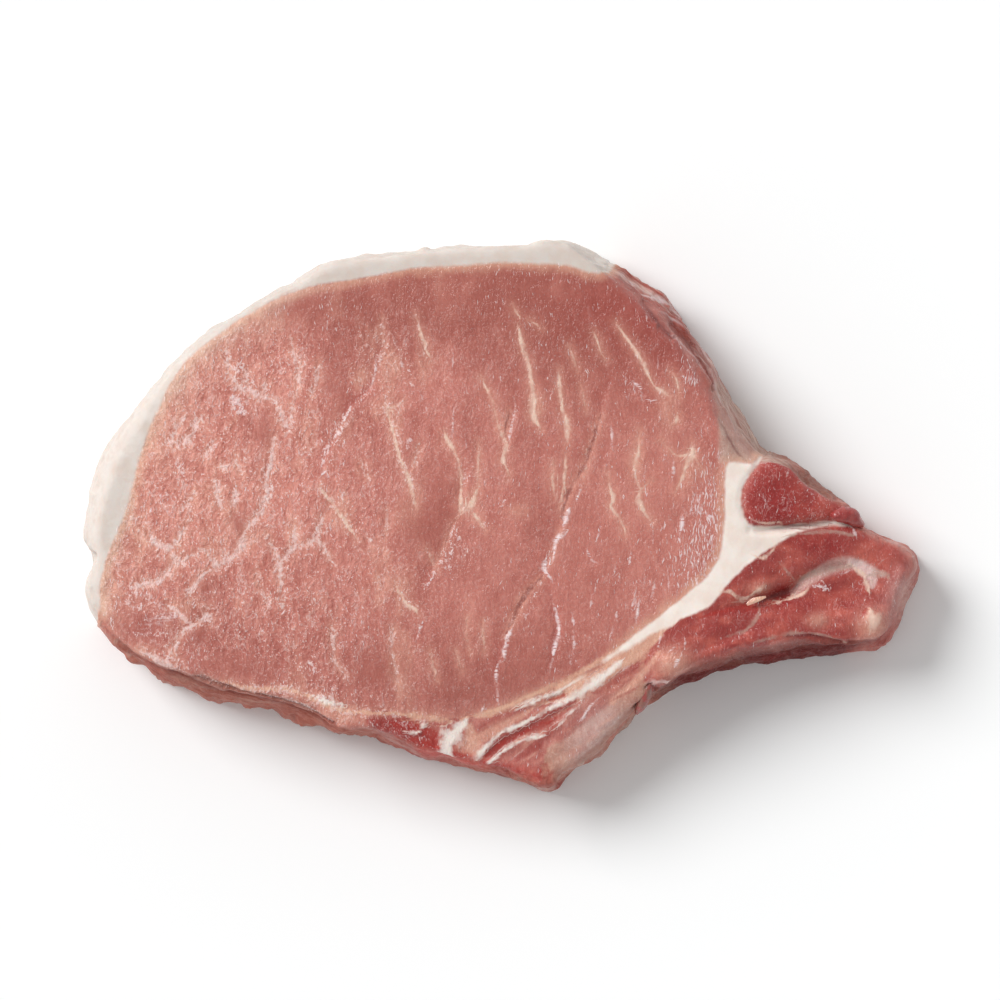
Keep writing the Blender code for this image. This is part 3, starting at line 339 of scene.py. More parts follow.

# The largest wet glints, painted into the colour as highlights, as (x, y, half width).
GLINTS = [
    [(12.5, 0.8, 0.08), (12.0, -0.6, 0.5), (11.5, -2.0, 0.5), (11.2, -2.6, 0.1)],
    [(11.6, -3.7, 0.2), (10.4, -4.6, 0.55), (9.9, -6.0, 0.42), (9.5, -8.6, 0.12)],
    [(8.3, -7.8, 0.15), (8.0, -10.0, 0.6), (9.2, -12.0, 0.15)],
    [(2.5, -20.0, 0.1), (1.5, -22.0, 0.45), (0.9, -24.5, 0.5), (0.9, -26.2, 0.15)],
    [(-0.1, -26.5, 0.1), (-0.7, -29.0, 0.3), (-0.5, -31.0, 0.13), (-0.3, -33.6, 0.2)],
    [(9.5, -16.2, 0.1), (10.2, -18.6, 0.36), (10.6, -21.2, 0.4), (10.0, -23.4, 0.42), (9.5, -26.0, 0.22),
     (8.9, -28.4, 0.1)],
    [(12.9, -17.8, 0.1), (13.0, -19.4, 0.25)], [(13.1, -21.6, 0.1), (13.2, -23.4, 0.3), (13.1, -24.4, 0.1)],
    [(12.8, -25.0, 0.08), (12.6, -26.9, 0.13)], [(16.4, -14.9, 0.08), (16.3, -16.3, 0.2)],
    [(17.0, -13.6, 0.2), (16.9, -14.2, 0.08)], [(20.2, -20.2, 0.08), (19.6, -22.2, 0.2)],
    [(20.7, -18.2, 0.2), (20.9, -19.5, 0.08)],
    [(24.4, -13.2, 0.08), (24.0, -15.0, 0.16), (23.6, -16.6, 0.22)],
    [(25.0, -14.8, 0.05), (24.6, -17.6, 0.24), (24.2, -19.8, 0.1)],
    [(27.4, -12.6, 0.1), (27.3, -14.4, 0.26), (26.8, -15.6, 0.08)],
    [(29.9, -9.8, 0.06), (30.0, -13.2, 0.14)], [(31.9, -11.8, 0.06), (31.5, -15.0, 0.12)],
    [(25.7, -11.4, 0.14), (25.8, -12.6, 0.1)], [(21.3, -11.6, 0.16), (21.4, -12.6, 0.1)],
    [(14.5, 4.4, 0.1), (13.8, 2.4, 0.3), (13.6, 1.6, 0.08)],
    [(30.9, 9.1, 0.06), (30.9, 7.3, 0.3), (30.6, 5.9, 0.15)], [(26.0, 8.2, 0.05), (25.6, 6.2, 0.15)],
    [(32.5, -0.6, 0.1), (32.4, -2.2, 0.34), (32.0, -3.9, 0.15)], [(34.1, 1.9, 0.06), (33.9, 0.2, 0.18)],
    [(35.0, 3.6, 0.06), (35.2, 1.0, 0.22), (34.9, -1.0, 0.08)], [(17.7, -3.3, 0.06), (17.2, -4.9, 0.25)],
    [(15.7, -7.3, 0.2), (16.3, -8.6, 0.2), (17.4, -9.2, 0.06)], [(23.3, -7.0, 0.06), (23.1, -8.9, 0.3)],
    [(20.6, -9.6, 0.1), (20.4, -10.4, 0.22)], [(27.3, -2.4, 0.14), (27.2, -4.6, 0.1)],
    [(2.8, 19.6, 0.1), (2.6, 17.4, 0.16), (2.2, 15.4, 0.16), (1.7, 13.2, 0.3), (1.7, 12.8, 0.1)],
    [(22.5, 24.4, 0.1), (22.3, 23.2, 0.2)], [(22.4, 20.9, 0.22), (22.6, 20.2, 0.1)],
    [(25.1, 21.2, 0.22), (25.2, 20.3, 0.12)], [(24.0, 22.9, 0.3), (25.0, 22.2, 0.3)],
    [(26.8, 19.7, 0.26), (27.1, 19.7, 0.2)], [(28.5, 17.4, 0.1), (28.4, 16.7, 0.18)],
    [(19.9, 15.4, 0.08), (19.8, 13.8, 0.2), (20.1, 11.0, 0.1)], [(32.7, 26.2, 0.08), (32.7, 25.2, 0.18)],
    [(33.4, 26.2, 0.08), (33.4, 25.2, 0.18)], [(34.3, 26.0, 0.08), (34.3, 25.1, 0.2)],
    [(34.9, 23.0, 0.2), (34.8, 22.5, 0.1)], [(26.1, 35.2, 0.1), (26.2, 34.6, 0.2)],
    [(28.2, 30.6, 0.06), (28.1, 29.8, 0.14)], [(26.9, 29.6, 0.08), (26.8, 28.9, 0.16)],
    [(28.1, 27.2, 0.08), (28.1, 26.0, 0.14)], [(-31.0, 7.0, 0.4), (-31.5, 6.6, 0.3)],
    [(-8.2, 18.8, 0.06), (-8.4, 15.5, 0.18), (-8.6, 13.2, 0.1)],
    [(-8.3, 28.2, 0.1), (-8.3, 26.6, 0.25), (-8.4, 25.2, 0.08)], [(-6.2, 15.2, 0.05), (-6.0, 12.0, 0.12)],
    [(-14.0, 21.4, 0.1), (-13.8, 20.0, 0.13)], [(-18.0, 28.2, 0.06), (-17.4, 26.1, 0.2)],
    [(-13.2, 19.6, 0.05), (-12.9, 17.8, 0.12)], [(-14.1, -20.3, 0.3), (-14.9, -23.0, 0.08)],
    [(-20.9, -32.8, 0.1), (-20.7, -34.4, 0.14)],
    [(-21.9, 28.6, 0.05), (-22.4, 23.6, 0.16), (-22.8, 22.2, 0.1)],
    [(-27.0, 17.6, 0.15), (-27.6, 16.4, 0.3)], [(-3.0, -35.0, 0.25), (-3.3, -35.6, 0.1)],
    [(14.5, -37.0, 0.2), (15.5, -35.6, 0.24), (16.4, -34.2, 0.16), (17.9, -33.0, 0.1)],
    [(22.1, -28.1, 0.22), (23.1, -27.3, 0.16)],
    [(28.2, -23.9, 0.16), (28.6, -22.4, 0.2), (29.2, -21.4, 0.08)],
    [(31.2, -27.0, 0.3), (31.9, -25.9, 0.3)], [(32.9, -23.8, 0.25), (33.0, -23.0, 0.15)],
    [(30.4, -24.6, 0.2), (31.2, -23.8, 0.1)], [(61.0, -11.0, 0.15), (62.4, -10.7, 0.15)],
    [(63.2, -3.5, 0.25), (63.4, -4.1, 0.2)], [(67.6, -9.3, 0.1), (68.5, -8.6, 0.14)],
    [(57.0, -13.4, 0.25), (58.0, -13.7, 0.3)], [(46.5, 3.2, 0.06), (47.2, 1.6, 0.12)],
    [(55.2, 3.4, 0.06), (55.6, 2.8, 0.16)], [(1.4, -44.7, 0.08), (2.9, -43.5, 0.14)],
    [(3.2, -43.2, 0.08), (4.5, -42.1, 0.13)],
]

# Patches of smooth deep meat, then of peach meat, in the loin eye: middle, reach.
SMOOTH_PATCHES = [
    ((-41.6, 14.5), (2.0, 5.0)), ((-29.0, 22.0), (3.0, 9.0)), ((-46.6, -1.6), (2.0, 2.2)),
    ((-52.6, -13.4), (1.4, 1.6)), ((-64.0, -20.5), (6.5, 3.6)), ((-53.4, -22.0), (2.4, 1.8)),
    ((-22.0, -28.0), (5.0, 3.0)), ((-10.5, 3.0), (3.0, 7.0)), ((-47.0, -28.0), (9.0, 2.4)),
    ((-34.0, 36.0), (14.0, 4.0)), ((-14.0, -3.0), (4.0, 5.0)),
]
PEACH_PATCHES = [
    ((-34.2, 14.5), (1.8, 3.6)), ((-27.6, 0.6), (1.5, 3.2)), ((-51.6, -6.0), (1.6, 2.0)),
    ((-44.2, -4.6), (1.7, 1.8)), ((-55.8, -16.4), (3.0, 1.4)), ((-58.0, -7.2), (1.3, 1.4)),
    ((-64.0, -5.0), (1.6, 4.0)), ((-36.8, -2.4), (1.2, 2.2)), ((-60.8, 16.0), (1.6, 4.0)),
    ((-55.0, 26.0), (4.0, 2.6)), ((-17.4, -12.4), (2.2, 2.4)), ((-13.6, 25.4), (1.4, 2.6)),
    ((-21.6, 18.4), (1.8, 2.0)), ((6.6, 18.6), (1.4, 2.2)), ((3.0, 0.2), (2.2, 1.4)),
    ((24.4, 10.0), (1.2, 3.0)), ((33.6, 7.6), (1.6, 3.0)), ((-4.6, 2.8), (1.0, 1.8)),
    ((-44.0, 34.0), (7.0, 2.0)), ((-69.0, -14.0), (2.0, 6.0)), ((-65.0, -25.0), (3.4, 1.6)),
    ((-19.0, 25.0), (1.4, 3.0)), ((30.0, 18.0), (2.0, 4.0)),
]

# Stretches of the outer wall, as paths in plan.
SILVERSKIN = [(24.0, 42.5), (32.7, 35.0), (38.4, 25.0), (42.7, 18.0), (47.5, 11.0)]
GREY_SKIN = [(40.5, 20.0), (43.8, 15.5), (47.5, 11.0), (49.5, 9.6)]
SIDE_SKIN = [(54.2, 5.6), (57.2, 3.6), (60.4, 0.4)]
RAGGED_FOOT = [(-62.0, -28.5), (-53.6, -32.8), (-43.2, -36.0), (-32.0, -39.4), (-26.0, -39.8)]
TIP_WALL = [(12.0, -47.0), (17.5, -43.5), (22.5, -38.4), (26.0, -35.0)]
ARM_UNDERSIDE = [(31.0, -31.5), (35.9, -29.6), (44.5, -27.5), (53.8, -25.7), (61.8, -25.4), (66.0, -24.4)]
ARM_END = [(69.4, -22.9), (72.4, -16.6), (75.0, -10.7), (73.4, -6.5), (66.0, -3.4)]
BLOOD_EDGE = [(-13.0, -43.4), (-8.0, -45.0), (-3.0, -46.0), (3.0, -47.2), (7.0, -48.2)]
FAT_NICK = [(-76.0, -8.4), (-71.0, -8.0)]
# The run of the muscles in the lower strip, and the lower edge of the fat seam above them.
STRIP_RUN = (0.84, 0.54)
SEAM_FOOT = [(36.8, -18.1), (30.4, -20.3), (26.0, -22.4), (20.8, -26.2), (16.8, -30.4), (12.4, -32.4)]
# The dark band under the fat cap.
CAP_BAND = [(-22.0, 35.5), (-10.0, 38.0), (8.0, 39.0), (24.0, 36.0)]
# Soft bands of colour: tone, strength, (x, y, half width) along each. First those on the rib meat.
ARM_BANDS = [
    ("silver", 0.75, [(52.6, -14.6, 0.5), (55.4, -12.2, 1.0), (58.6, -10.2, 1.3), (62.0, -9.2, 1.3),
        (65.4, -9.9, 0.9), (68.6, -11.4, 0.4)]),
    ("lace", 0.85, [(62.6, -9.0, 0.6), (64.8, -10.0, 1.1), (66.4, -11.6, 1.0), (66.6, -13.4, 0.5)]),
    ("dark", 0.7, [(47.0, -4.6, 0.8), (52.0, -4.4, 2.0), (56.6, -5.6, 2.0), (60.0, -6.6, 0.8)]),
    ("rib", 0.7, [(44.0, -11.4, 1.0), (47.4, -9.0, 2.2), (50.0, -7.6, 1.4)]),
    ("dark", 0.6, [(38.4, -18.0, 0.5), (43.0, -17.4, 1.0), (47.6, -17.2, 0.8), (52.4, -15.6, 0.5)]),
]
# Those on the lower strip and the bone tip.
STRIP_BANDS = [
    ("rib", 0.85, [(13.5, -33.6, 0.4), (9.5, -35.6, 0.9), (7.0, -37.3, 1.1), (3.6, -39.1, 1.1),
        (0.4, -41.2, 0.9), (-2.0, -43.4, 0.6)]),
    ("rib", 0.55, [(10.6, -32.2, 0.5), (7.0, -33.4, 1.0), (3.0, -35.2, 1.0), (-1.0, -37.2, 0.9),
        (-4.0, -39.2, 0.4)]),
    ("rib", 0.6, [(9.8, -38.8, 0.4), (6.2, -41.8, 0.8), (3.0, -44.2, 0.5)]),
    ("rib", 0.45, [(27.8, -23.8, 0.5), (25.1, -27.4, 1.4), (21.5, -30.4, 1.6), (17.9, -33.7, 1.5),
        (14.4, -36.9, 1.2), (10.8, -40.5, 0.8)]),
    ("dark", 0.8, [(-23.0, -37.2, 0.8), (-19.6, -38.6, 2.2), (-16.0, -39.6, 2.2), (-12.6, -41.2, 1.4),
        (-11.4, -43.0, 0.8)]),
    ("peach", 0.8, [(-5.4, -38.4, 0.8), (-5.0, -40.4, 1.4), (-4.4, -42.4, 1.5), (-3.6, -44.2, 1.1)]),
    ("peach", 0.7, [(28.4, -25.0, 0.4), (25.6, -28.6, 0.6), (22.6, -31.6, 0.7), (20.0, -34.0, 0.5)]),
]
# Folds of the rib meat: path, depth, width.
RIB_FOLDS = [
    ([(39.8, -17.0), (44.8, -16.3), (49.3, -15.0), (52.4, -13.6), (55.5, -11.4), (60.0, -10.2),
      (64.0, -9.8)], 1.3, 1.1),
    ([(45.9, -19.0), (43.9, -20.8), (39.4, -22.9), (34.0, -25.6)], 0.5, 1.2),
    ([(44.6, -3.2), (47.7, -3.2), (51.1, -2.7), (57.3, -2.2), (62.2, -2.0)], 1.9, 0.6),
    ([(54.0, -22.0), (58.5, -22.9), (63.0, -23.6)], 0.6, 0.6),
]
# Unevenness of the surface: where, height, size of the lumps, seed, layers.
LUMPS = [
    ("rib", 0.36, 6.0, 21, 3), ("rib", 0.20, (3.4, 1.9, 2.2), 22, 3), ("muscle", 0.12, 2.4, 23, 2),
    ("strip", 0.22, (3.0, 3.0, 4.0), 31, 3), ("strip", 0.10, 1.4, 32, 2), ("bone", 0.3, 3.5, 33, 3),
    ("bone", 0.1, 1.3, 34, 2), ("fat_face", 0.10, 4.0, 41, 3), ("fat_face", 0.03, 1.2, 42, 2),
    ("fat_side", 0.45, (3.4, 3.4, 8.0), 43, 3), ("fat_side", 0.9, 8.0, 44, 3),
    ("fat_side", 0.14, (2.4, 2.4, 1.5), 45, 2), ("meat", 1.1, (9.0, 9.0, 8.0), 46, 3),
    ("meat", 0.60, (3.2, 3.2, 4.5), 47, 3), ("meat", 0.20, (1.3, 1.3, 1.4), 48, 2),
    ("foot", 0.25, (4.0, 4.0, 1.3), 63, 2), ("under", 0.5, (7.0, 7.0, 5.0), 66, 3),
]
# Rises on the cut face of the rib meat: height, middle in plan, reach.
RIB_RISES = [
    (1.1, (66.3, -19.2), (2.6, 2.4)), (0.7, (30.5, -26.6), (3.0, 2.6)), (0.7, (46.4, -13.6), (2.0, 1.4)),
]
# Soft patches of colour in the order they are laid: tone, strength, middle, reach.
EYE_CLOUDS = [
    ("deep", 0.8, (18.0, 28.0), (15.0, 12.0)), ("pale", 0.6, (-46.0, 6.0), (17.0, 24.0)),
    ("pale", 0.12, (27.0, 2.0), (10.0, 13.0)), ("deep", 0.5, (-2.0, -29.0), (34.0, 9.0)),
    ("deep", 0.4, (-52.0, -22.0), (13.0, 7.0)),
]
EYE_TOUCHES = [
    ("deep", 0.32, (1.9, 27.0), (5.0, 10.0)), ("rib", 0.35, (22.0, 37.0), (11.0, 6.0)),
    ("pale", 0.2, (23.3, 19.5), (6.0, 8.0)), ("rib", 0.3, (28.0, 26.0), (10.0, 10.0)),
    ("deep", 0.25, (-31.5, -33.5), (7.0, 3.0)),
]
RIB_TOUCHES = [
    ("peach", 0.75, (30.4, -27.0), (4.0, 3.0)), ("peach", 0.75, (56.6, -19.2), (2.0, 1.4)),
    ("peach", 0.75, (46.4, -13.6), (2.0, 1.2)), ("peach", 0.75, (66.4, -20.4), (3.0, 3.0)),
    ("dark", 0.7, (50.5, -14.0), (3.5, 1.4)), ("dark", 0.45, (55.0, -16.5), (6.0, 4.0)),
    ("dark", 0.35, (45.0, -9.0), (5.0, 4.0)), ("flush", 0.5, (66.5, -9.0), (4.0, 4.0)),
]
STRIP_TOUCHES = [
    ("peach", 0.6, (-28.0, -36.0), (8.0, 2.4)), ("peach", 0.55, (20.0, -31.5), (6.0, 4.0)),
]
# Bulges of the wall: middle in plan, reach, height.
BULGES = [
    ((-73.0, 8.6), 1.5, 0.9), ((-24.9, 46.6), 1.2, 0.5), ((-13.4, 47.0), 1.0, 0.5),
    ((74.5, -9.5), 7.0, 0.7), ((69.5, -23.5), 3.5, 0.7), ((8.5, -48.5), 3.5, 1.0),
    ((-73.0, -17.0), 7.0, 0.7), ((-2.0, -46.5), 7.0, 0.35), ((55.0, -26.0), 12.0, 0.4),
    ((-14.0, -44.0), 3.0, 0.6), ((-25.0, -40.5), 4.0, -0.5), ((19.0, -41.0), 6.0, 0.5),
    ((38.0, 27.0), 9.0, 0.35), ((22.0, 43.6), 3.0, 0.4),
]
# Loose scraps: name, slot, two tones, thickness, path of (x, y, height over the skin, half width).
SCRAPS = [
    ("nub", "rib_lean", "dark", "rib", 1.3, [
        (58.6, -0.6, -1.4, 0.5), (60.2, -0.6, -0.7, 1.2), (62.0, -0.7, -0.4, 1.6), (63.6, -1.6, -0.7, 1.3),
        (65.0, -2.6, -1.6, 0.5)]),
    ("flake", "rib_lean", "halo", "peach", 0.2, [
        (44.0, -16.5, 0.0, 0.25), (45.0, -15.9, 0.15, 0.48), (46.2, -15.5, 0.18, 0.4),
        (47.4, -15.1, 0.0, 0.18)]),
    ("flap", "rib_lean", "rib", "brown", 1.2, [
        (24.2, -36.2, -3.0, 0.3), (25.0, -34.8, -2.2, 0.9), (25.8, -32.8, -1.6, 1.1),
        (26.6, -30.6, -1.4, 0.7)]),
]
SCRAP_SIDES = 16


# Arithmetic on whole arrays of places, in millimetres.

def lattice(cells, seed):
    """A repeatable number from -1 to 1 for each whole-number cell."""
    mixed = cells[:, 0] * 73856093 ^ cells[:, 1] * 19349663 ^ cells[:, 2] * 83492791 ^ seed * 2654435761
    mixed = (mixed ^ mixed >> 13) * 1274126177
    return ((mixed ^ mixed >> 16) & 0xFFFF) / 32767.5 - 1.0


def lumps(places, size, seed):
    """Smooth noise from -1 to 1 at each place, with lumps of about the given size."""
    scaled = places / size
    whole = np.floor(scaled)
    share = scaled - whole
    share = share * share * (3.0 - 2.0 * share)
    whole = whole.astype(np.int64)
    total = np.zeros(len(places))
    for corner in itertools.product((0, 1), repeat=3):
        weight = np.where(corner, share, 1.0 - share).prod(axis=1)
        total += weight * lattice(whole + np.array(corner), seed)
    return total


def layered(places, size, seed, layers=3):
    """Noise of several sizes, each half the last and half as strong."""
    size = np.broadcast_to(np.asarray(size, float), (3,))
    total = sum(0.5 ** layer * lumps(places, size * 0.5 ** layer, seed + layer) for layer in range(layers))
    return total / (2.0 - 0.5 ** (layers - 1))


def streaked(places, size, seed):
    """Noise drawn out along the run of the lower strip."""
    along = places[:, 0] * STRIP_RUN[0] + places[:, 1] * STRIP_RUN[1]
    across = places[:, 1] * STRIP_RUN[0] - places[:, 0] * STRIP_RUN[1]
    return layered(np.column_stack([along, across, places[:, 2]]), size, seed)


def step(low, high, value):
    """0 at low, 1 at high, with a smooth change between them."""
    t = np.clip((value - low) / (high - low), 0.0, 1.0)
    return t * t * (3.0 - 2.0 * t)


def spot(plan, middle, reach):
    """1 in the middle of a soft round or oval patch, 0 well outside it."""
    return np.exp(-(((plan - np.array(middle)) / np.array(reach)) ** 2).sum(axis=1))


def smooth_path(points, per_span=5):
    """Points along a Catmull-Rom curve through the given ones."""
    known = [np.array(point, float) for point in points]
    known = [2 * known[0] - known[1]] + known + [2 * known[-1] - known[-2]]
    path = []
    for before, start, end, after in zip(known, known[1:], known[2:], known[3:]):
        for t in np.arange(per_span) / per_span:
            path.append(
                0.5 * (2 * start + (end - before) * t + (2 * before - 5 * start + 4 * end - after) * t ** 2
                       + (3 * start - before - 3 * end + after) * t ** 3)
            )
    path.append(known[-2])
    return np.array(path)


def path_field(plan, path, reach):
    """Distance from a path, signed distance across it (positive on its left) and share along it."""
    near = np.full(len(plan), reach)
    across = np.full(len(plan), reach)
    along = np.zeros(len(plan))
    low, high = path.min(axis=0) - reach, path.max(axis=0) + reach
    picked = np.flatnonzero(((plan > low) & (plan < high)).all(axis=1))
    here = plan[picked]
    best, best_across, best_along = near[picked], across[picked], along[picked]
    for index, (start, end) in enumerate(zip(path, path[1:])):
        run = end - start
        share = np.clip((here - start) @ run / (run @ run), 0.0, 1.0)
        off = here - start - share[:, None] * run
        distance = np.hypot(off[:, 0], off[:, 1])
        side = np.where(run[0] * off[:, 1] < run[1] * off[:, 0], -1.0, 1.0)
        closer = distance < best
        best = np.where(closer, distance, best)
        best_across = np.where(closer, side * distance, best_across)
        best_along = np.where(closer, (index + share) / (len(path) - 1), best_along)
    near[picked], across[picked], along[picked] = best, best_across, best_along
    return near, across, along


def distance_to(plan, points, reach):
    """Distance from the smooth curve through some points, up to a reach."""
    return path_field(plan, smooth_path(points), reach)[0]


class Strokes:
    """The nearest stroke at each place: distance, signed distance across, half width, ink and depth."""

    def __init__(self, plan, groups, inks):
        self.plan = plan
        self.gap = np.full(len(plan), STROKE_REACH)
        self.near = np.full(len(plan), STROKE_REACH)
        self.across = np.full(len(plan), STROKE_REACH)
        self.half = np.zeros(len(plan))
        self.depth = np.zeros(len(plan))
        self.ink = np.zeros((len(plan), 4))
        for ink, opacity, depth, paths in groups:
            for path in paths:
                self.add(smooth_path(path), (*inks[ink], opacity), depth)

    def add(self, path, ink, depth):
        """Draw one stroke, given as (x, y, half width) along its length."""
        near, across, along = path_field(self.plan, path[:, :2], STROKE_REACH)
        half = np.interp(along, np.linspace(0.0, 1.0, len(path)), path[:, 2])
        closer = near - half < self.gap
        self.gap = np.where(closer, near - half, self.gap)
        self.near = np.where(closer, near, self.near)
        self.across = np.where(closer, across, self.across)
        self.half = np.where(closer, half, self.half)
        self.depth = np.where(closer, depth, self.depth)
        self.ink = np.where(closer[:, None], ink, self.ink)

    def field(self, shown):
        """Across, near and half width in one vector, with no stroke where it isn't shown."""
        return np.column_stack([self.across, self.near, np.where(shown, self.half, -1.0)])


# The skin of the whole chop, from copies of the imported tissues.

def tissue_copy(name, swell=0.0):
    """A merged bmesh copy of one packed tissue, swollen by a little."""
    bm = bmesh.new()
    bm.from_mesh(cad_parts[name].data)
    bmesh.ops.remove_doubles(bm, verts=bm.verts, dist=MERGE)
    bm.normal_update()
    for vert in bm.verts:
        vert.co += vert.normal * swell
    return bm


def link(piece):
    """Put a piece into the scene."""
    bpy.context.scene.collection.objects.link(piece)
    return piece


def mesh_from(bm, name):
    """A new mesh with all that a bmesh holds."""
    mesh = bpy.data.meshes.new(name)
    bm.to_mesh(mesh)
    bm.free()
    return mesh


def set_points(mesh, places):
    """Put a mesh's points at places in millimetres and shade it smooth."""
    mesh.vertices.foreach_set("co", (places * MM).ravel())
    mesh.polygons.foreach_set("use_smooth", np.ones(len(mesh.polygons), dtype=bool))


def relax(bm, verts, times):
    """Even out some points of a bmesh."""
    axes = {"use_axis_x": True, "use_axis_y": True, "use_axis_z": True}
    for _ in range(times):
        bmesh.ops.smooth_vert(bm, verts=verts, factor=0.5, **axes)


def fused_skin(name, cell):
    """All the tissues grown together into one closed skin of even faces."""
    joined = bmesh.new()
    for tissue in TISSUES:
        mesh = mesh_from(tissue_copy(tissue, SWELL), tissue)
        joined.from_mesh(mesh)
        bpy.data.meshes.remove(mesh)
    mesh = mesh_from(joined, name)
    rough = link(bpy.data.objects.new(name, mesh))
    remesh = rough.modifiers.new("grow_together", "REMESH")
    remesh.mode = "VOXEL"
    remesh.voxel_size = cell
    fused = bpy.data.meshes.new_from_object(rough.evaluated_get(bpy.context.evaluated_depsgraph_get()))
    bpy.data.objects.remove(rough)
    bpy.data.meshes.remove(mesh)
    bm = bmesh.new()
    bm.from_mesh(fused)
    bpy.data.meshes.remove(fused)
    relax(bm, bm.verts, 3)
    bm.normal_update()
    for vert in bm.verts:
        vert.co -= vert.normal * SWELL
    return bm


def flat_faces(bm):
    """The faces of the underside."""
    return [face for face in bm.faces if all(vert.co.z == 0.0 for vert in face.verts)]


def flatten_underside(bm):
    """Lay the underside flat and divide it into a coarse grid."""
    for vert in bm.verts:
        if vert.co.z < BASE_LEVEL:
            vert.co.z = 0.0
    bmesh.ops.dissolve_faces(bm, faces=flat_faces(bm), use_verts=False)
    for axis in (Vector((1, 0, 0)), Vector((0, 1, 0))):
        reach = [vert.co.dot(axis) for vert in bm.verts]
        for place in np.arange(min(reach) + BASE_GRID, max(reach) - BASE_GRID / 2, BASE_GRID):
            base = flat_faces(bm)
            edges = {edge for face in base for edge in face.edges}
            verts = {vert for face in base for vert in face.verts}
            bmesh.ops.bisect_plane(
                bm, geom=[*verts, *edges, *base], dist=MERGE, plane_co=axis * place, plane_no=axis
            )


def divided_skin(name, cell):
    """The fused skin with its cut face and wall divided once more and its underside coarse."""
    bm = fused_skin(name, cell)
    flatten_underside(bm)
    edges = [edge for edge in bm.edges if any(vert.co.z > 0.0 for vert in edge.verts)]
    bmesh.ops.subdivide_edges(bm, edges=edges, cuts=1, use_grid_fill=True)
    relax(bm, [vert for vert in bm.verts if vert.co.z > 0.0], 2)
    bmesh.ops.triangulate(bm, faces=[face for face in bm.faces if len(face.verts) > 4])
    return mesh_from(bm, name)


class Skin:
    """The skin's points as arrays, in millimetres, with what lies where."""

    def __init__(self, mesh):
        count = len(mesh.vertices)
        self.mesh = mesh
        self.place = self.read(mesh.vertices, "co", count) / MM
        self.normal = self.read(mesh.vertex_normals, "vector", count)
        self.plan = self.place[:, :2]
        self.height = self.place[:, 2]
        self.base = self.height < 0.001
        self.measure_tissues()
        self.measure_ring()
        self.side = (1.0 - step(0.2, 0.62, self.normal[:, 2])) * (1.0 - step(6.0, 8.0, self.inward))
        self.side[self.base] = 1.0
        self.top = 1.0 - self.side

    @staticmethod
    def read(items, name, count):
        values = np.empty(count * 3)
        items.foreach_get(name, values)
        return values.reshape(count, 3)

    def measure_tissues(self):
        """Distance from every point to each tissue, and which tissue it lies on."""
        self.gap = {}
        for name in TISSUES:
            part = tissue_copy(name)
            tree = BVHTree.FromBMesh(part)
            part.free()
            self.gap[name] = np.array([tree.find_nearest(co)[3] for co in (self.place * MM).tolist()]) / MM
        lean = np.min([self.gap[name] for name in TISSUES if name not in FAT_NODES], axis=0)
        fat = np.min([self.gap[name] for name in FAT_NODES], axis=0)
        self.fat = lean - fat
        nearest = np.argmin([self.gap[name] for name in TISSUES], axis=0)
        self.on = {name: nearest == index for index, name in enumerate(TISSUES)}

    def measure_ring(self):
        """Distance of every point in from the foot of the wall, and its height as a share of the rim's."""
        bm = bmesh.new()
        bm.from_mesh(self.mesh)
        foot = [
            edge for edge in bm.edges
            if edge.verts[0].co.z == 0.0 and edge.verts[1].co.z == 0.0
            and len({all(vert.co.z == 0.0 for vert in face.verts) for face in edge.link_faces}) == 2
        ]
        onward = {}
        for edge in foot:
            for vert in edge.verts:
                onward.setdefault(vert, []).append(edge.other_vert(vert))
        start = next(iter(onward))
        ring = [start, onward[start][0]]
        while ring[-1] is not start:
            ring.append(next(vert for vert in onward[ring[-1]] if vert is not ring[-2]))
        ring = np.array([vert.co.xy for vert in ring[:-1]]) / MM
        bm.free()
        if np.sum(ring[:, 0] * np.roll(ring[:, 1], -1) - ring[:, 1] * np.roll(ring[:, 0], -1)) < 0.0:
            ring = ring[::-1]
        spans = np.roll(ring, -1, axis=0) - ring
        lengths = np.hypot(spans[:, 0], spans[:, 1])
        tree = KDTree(len(ring))
        for index, place in enumerate(ring):
            tree.insert((place[0], place[1], 0.0), index)
        tree.balance()
        nearest = np.array([tree.find((x, y, 0.0))[1] for x, y in self.plan.tolist()])
        self.inward = np.full(len(nearest), np.inf)
        for shift in (-2, -1, 0, 1):
            index = (nearest + shift) % len(ring)
            off = self.plan - ring[index]
            share = (off * spans[index]).sum(axis=1) / np.maximum(lengths[index] ** 2, 1e-9)
            miss = off - np.clip(share, 0.0, 1.0)[:, None] * spans[index]
            self.inward = np.minimum(self.inward, np.hypot(miss[:, 0], miss[:, 1]))
        self.share = np.clip(self.height / RIM_HEIGHT, 0.0, 1.0)

    def zone(self, points, core=2.5, reach=PATH_REACH):
        """1 on the stretch of wall along a path in plan, fading out beyond it, with a wavering edge."""
        waver = np.column_stack([lumps(self.place, 7.0, 91), lumps(self.place, 7.0, 92)])
        near = distance_to(self.plan + 3.8 * waver * self.side[:, None], points, reach + 4.0)
        return (1.0 - step(core, reach, near)) * self.side


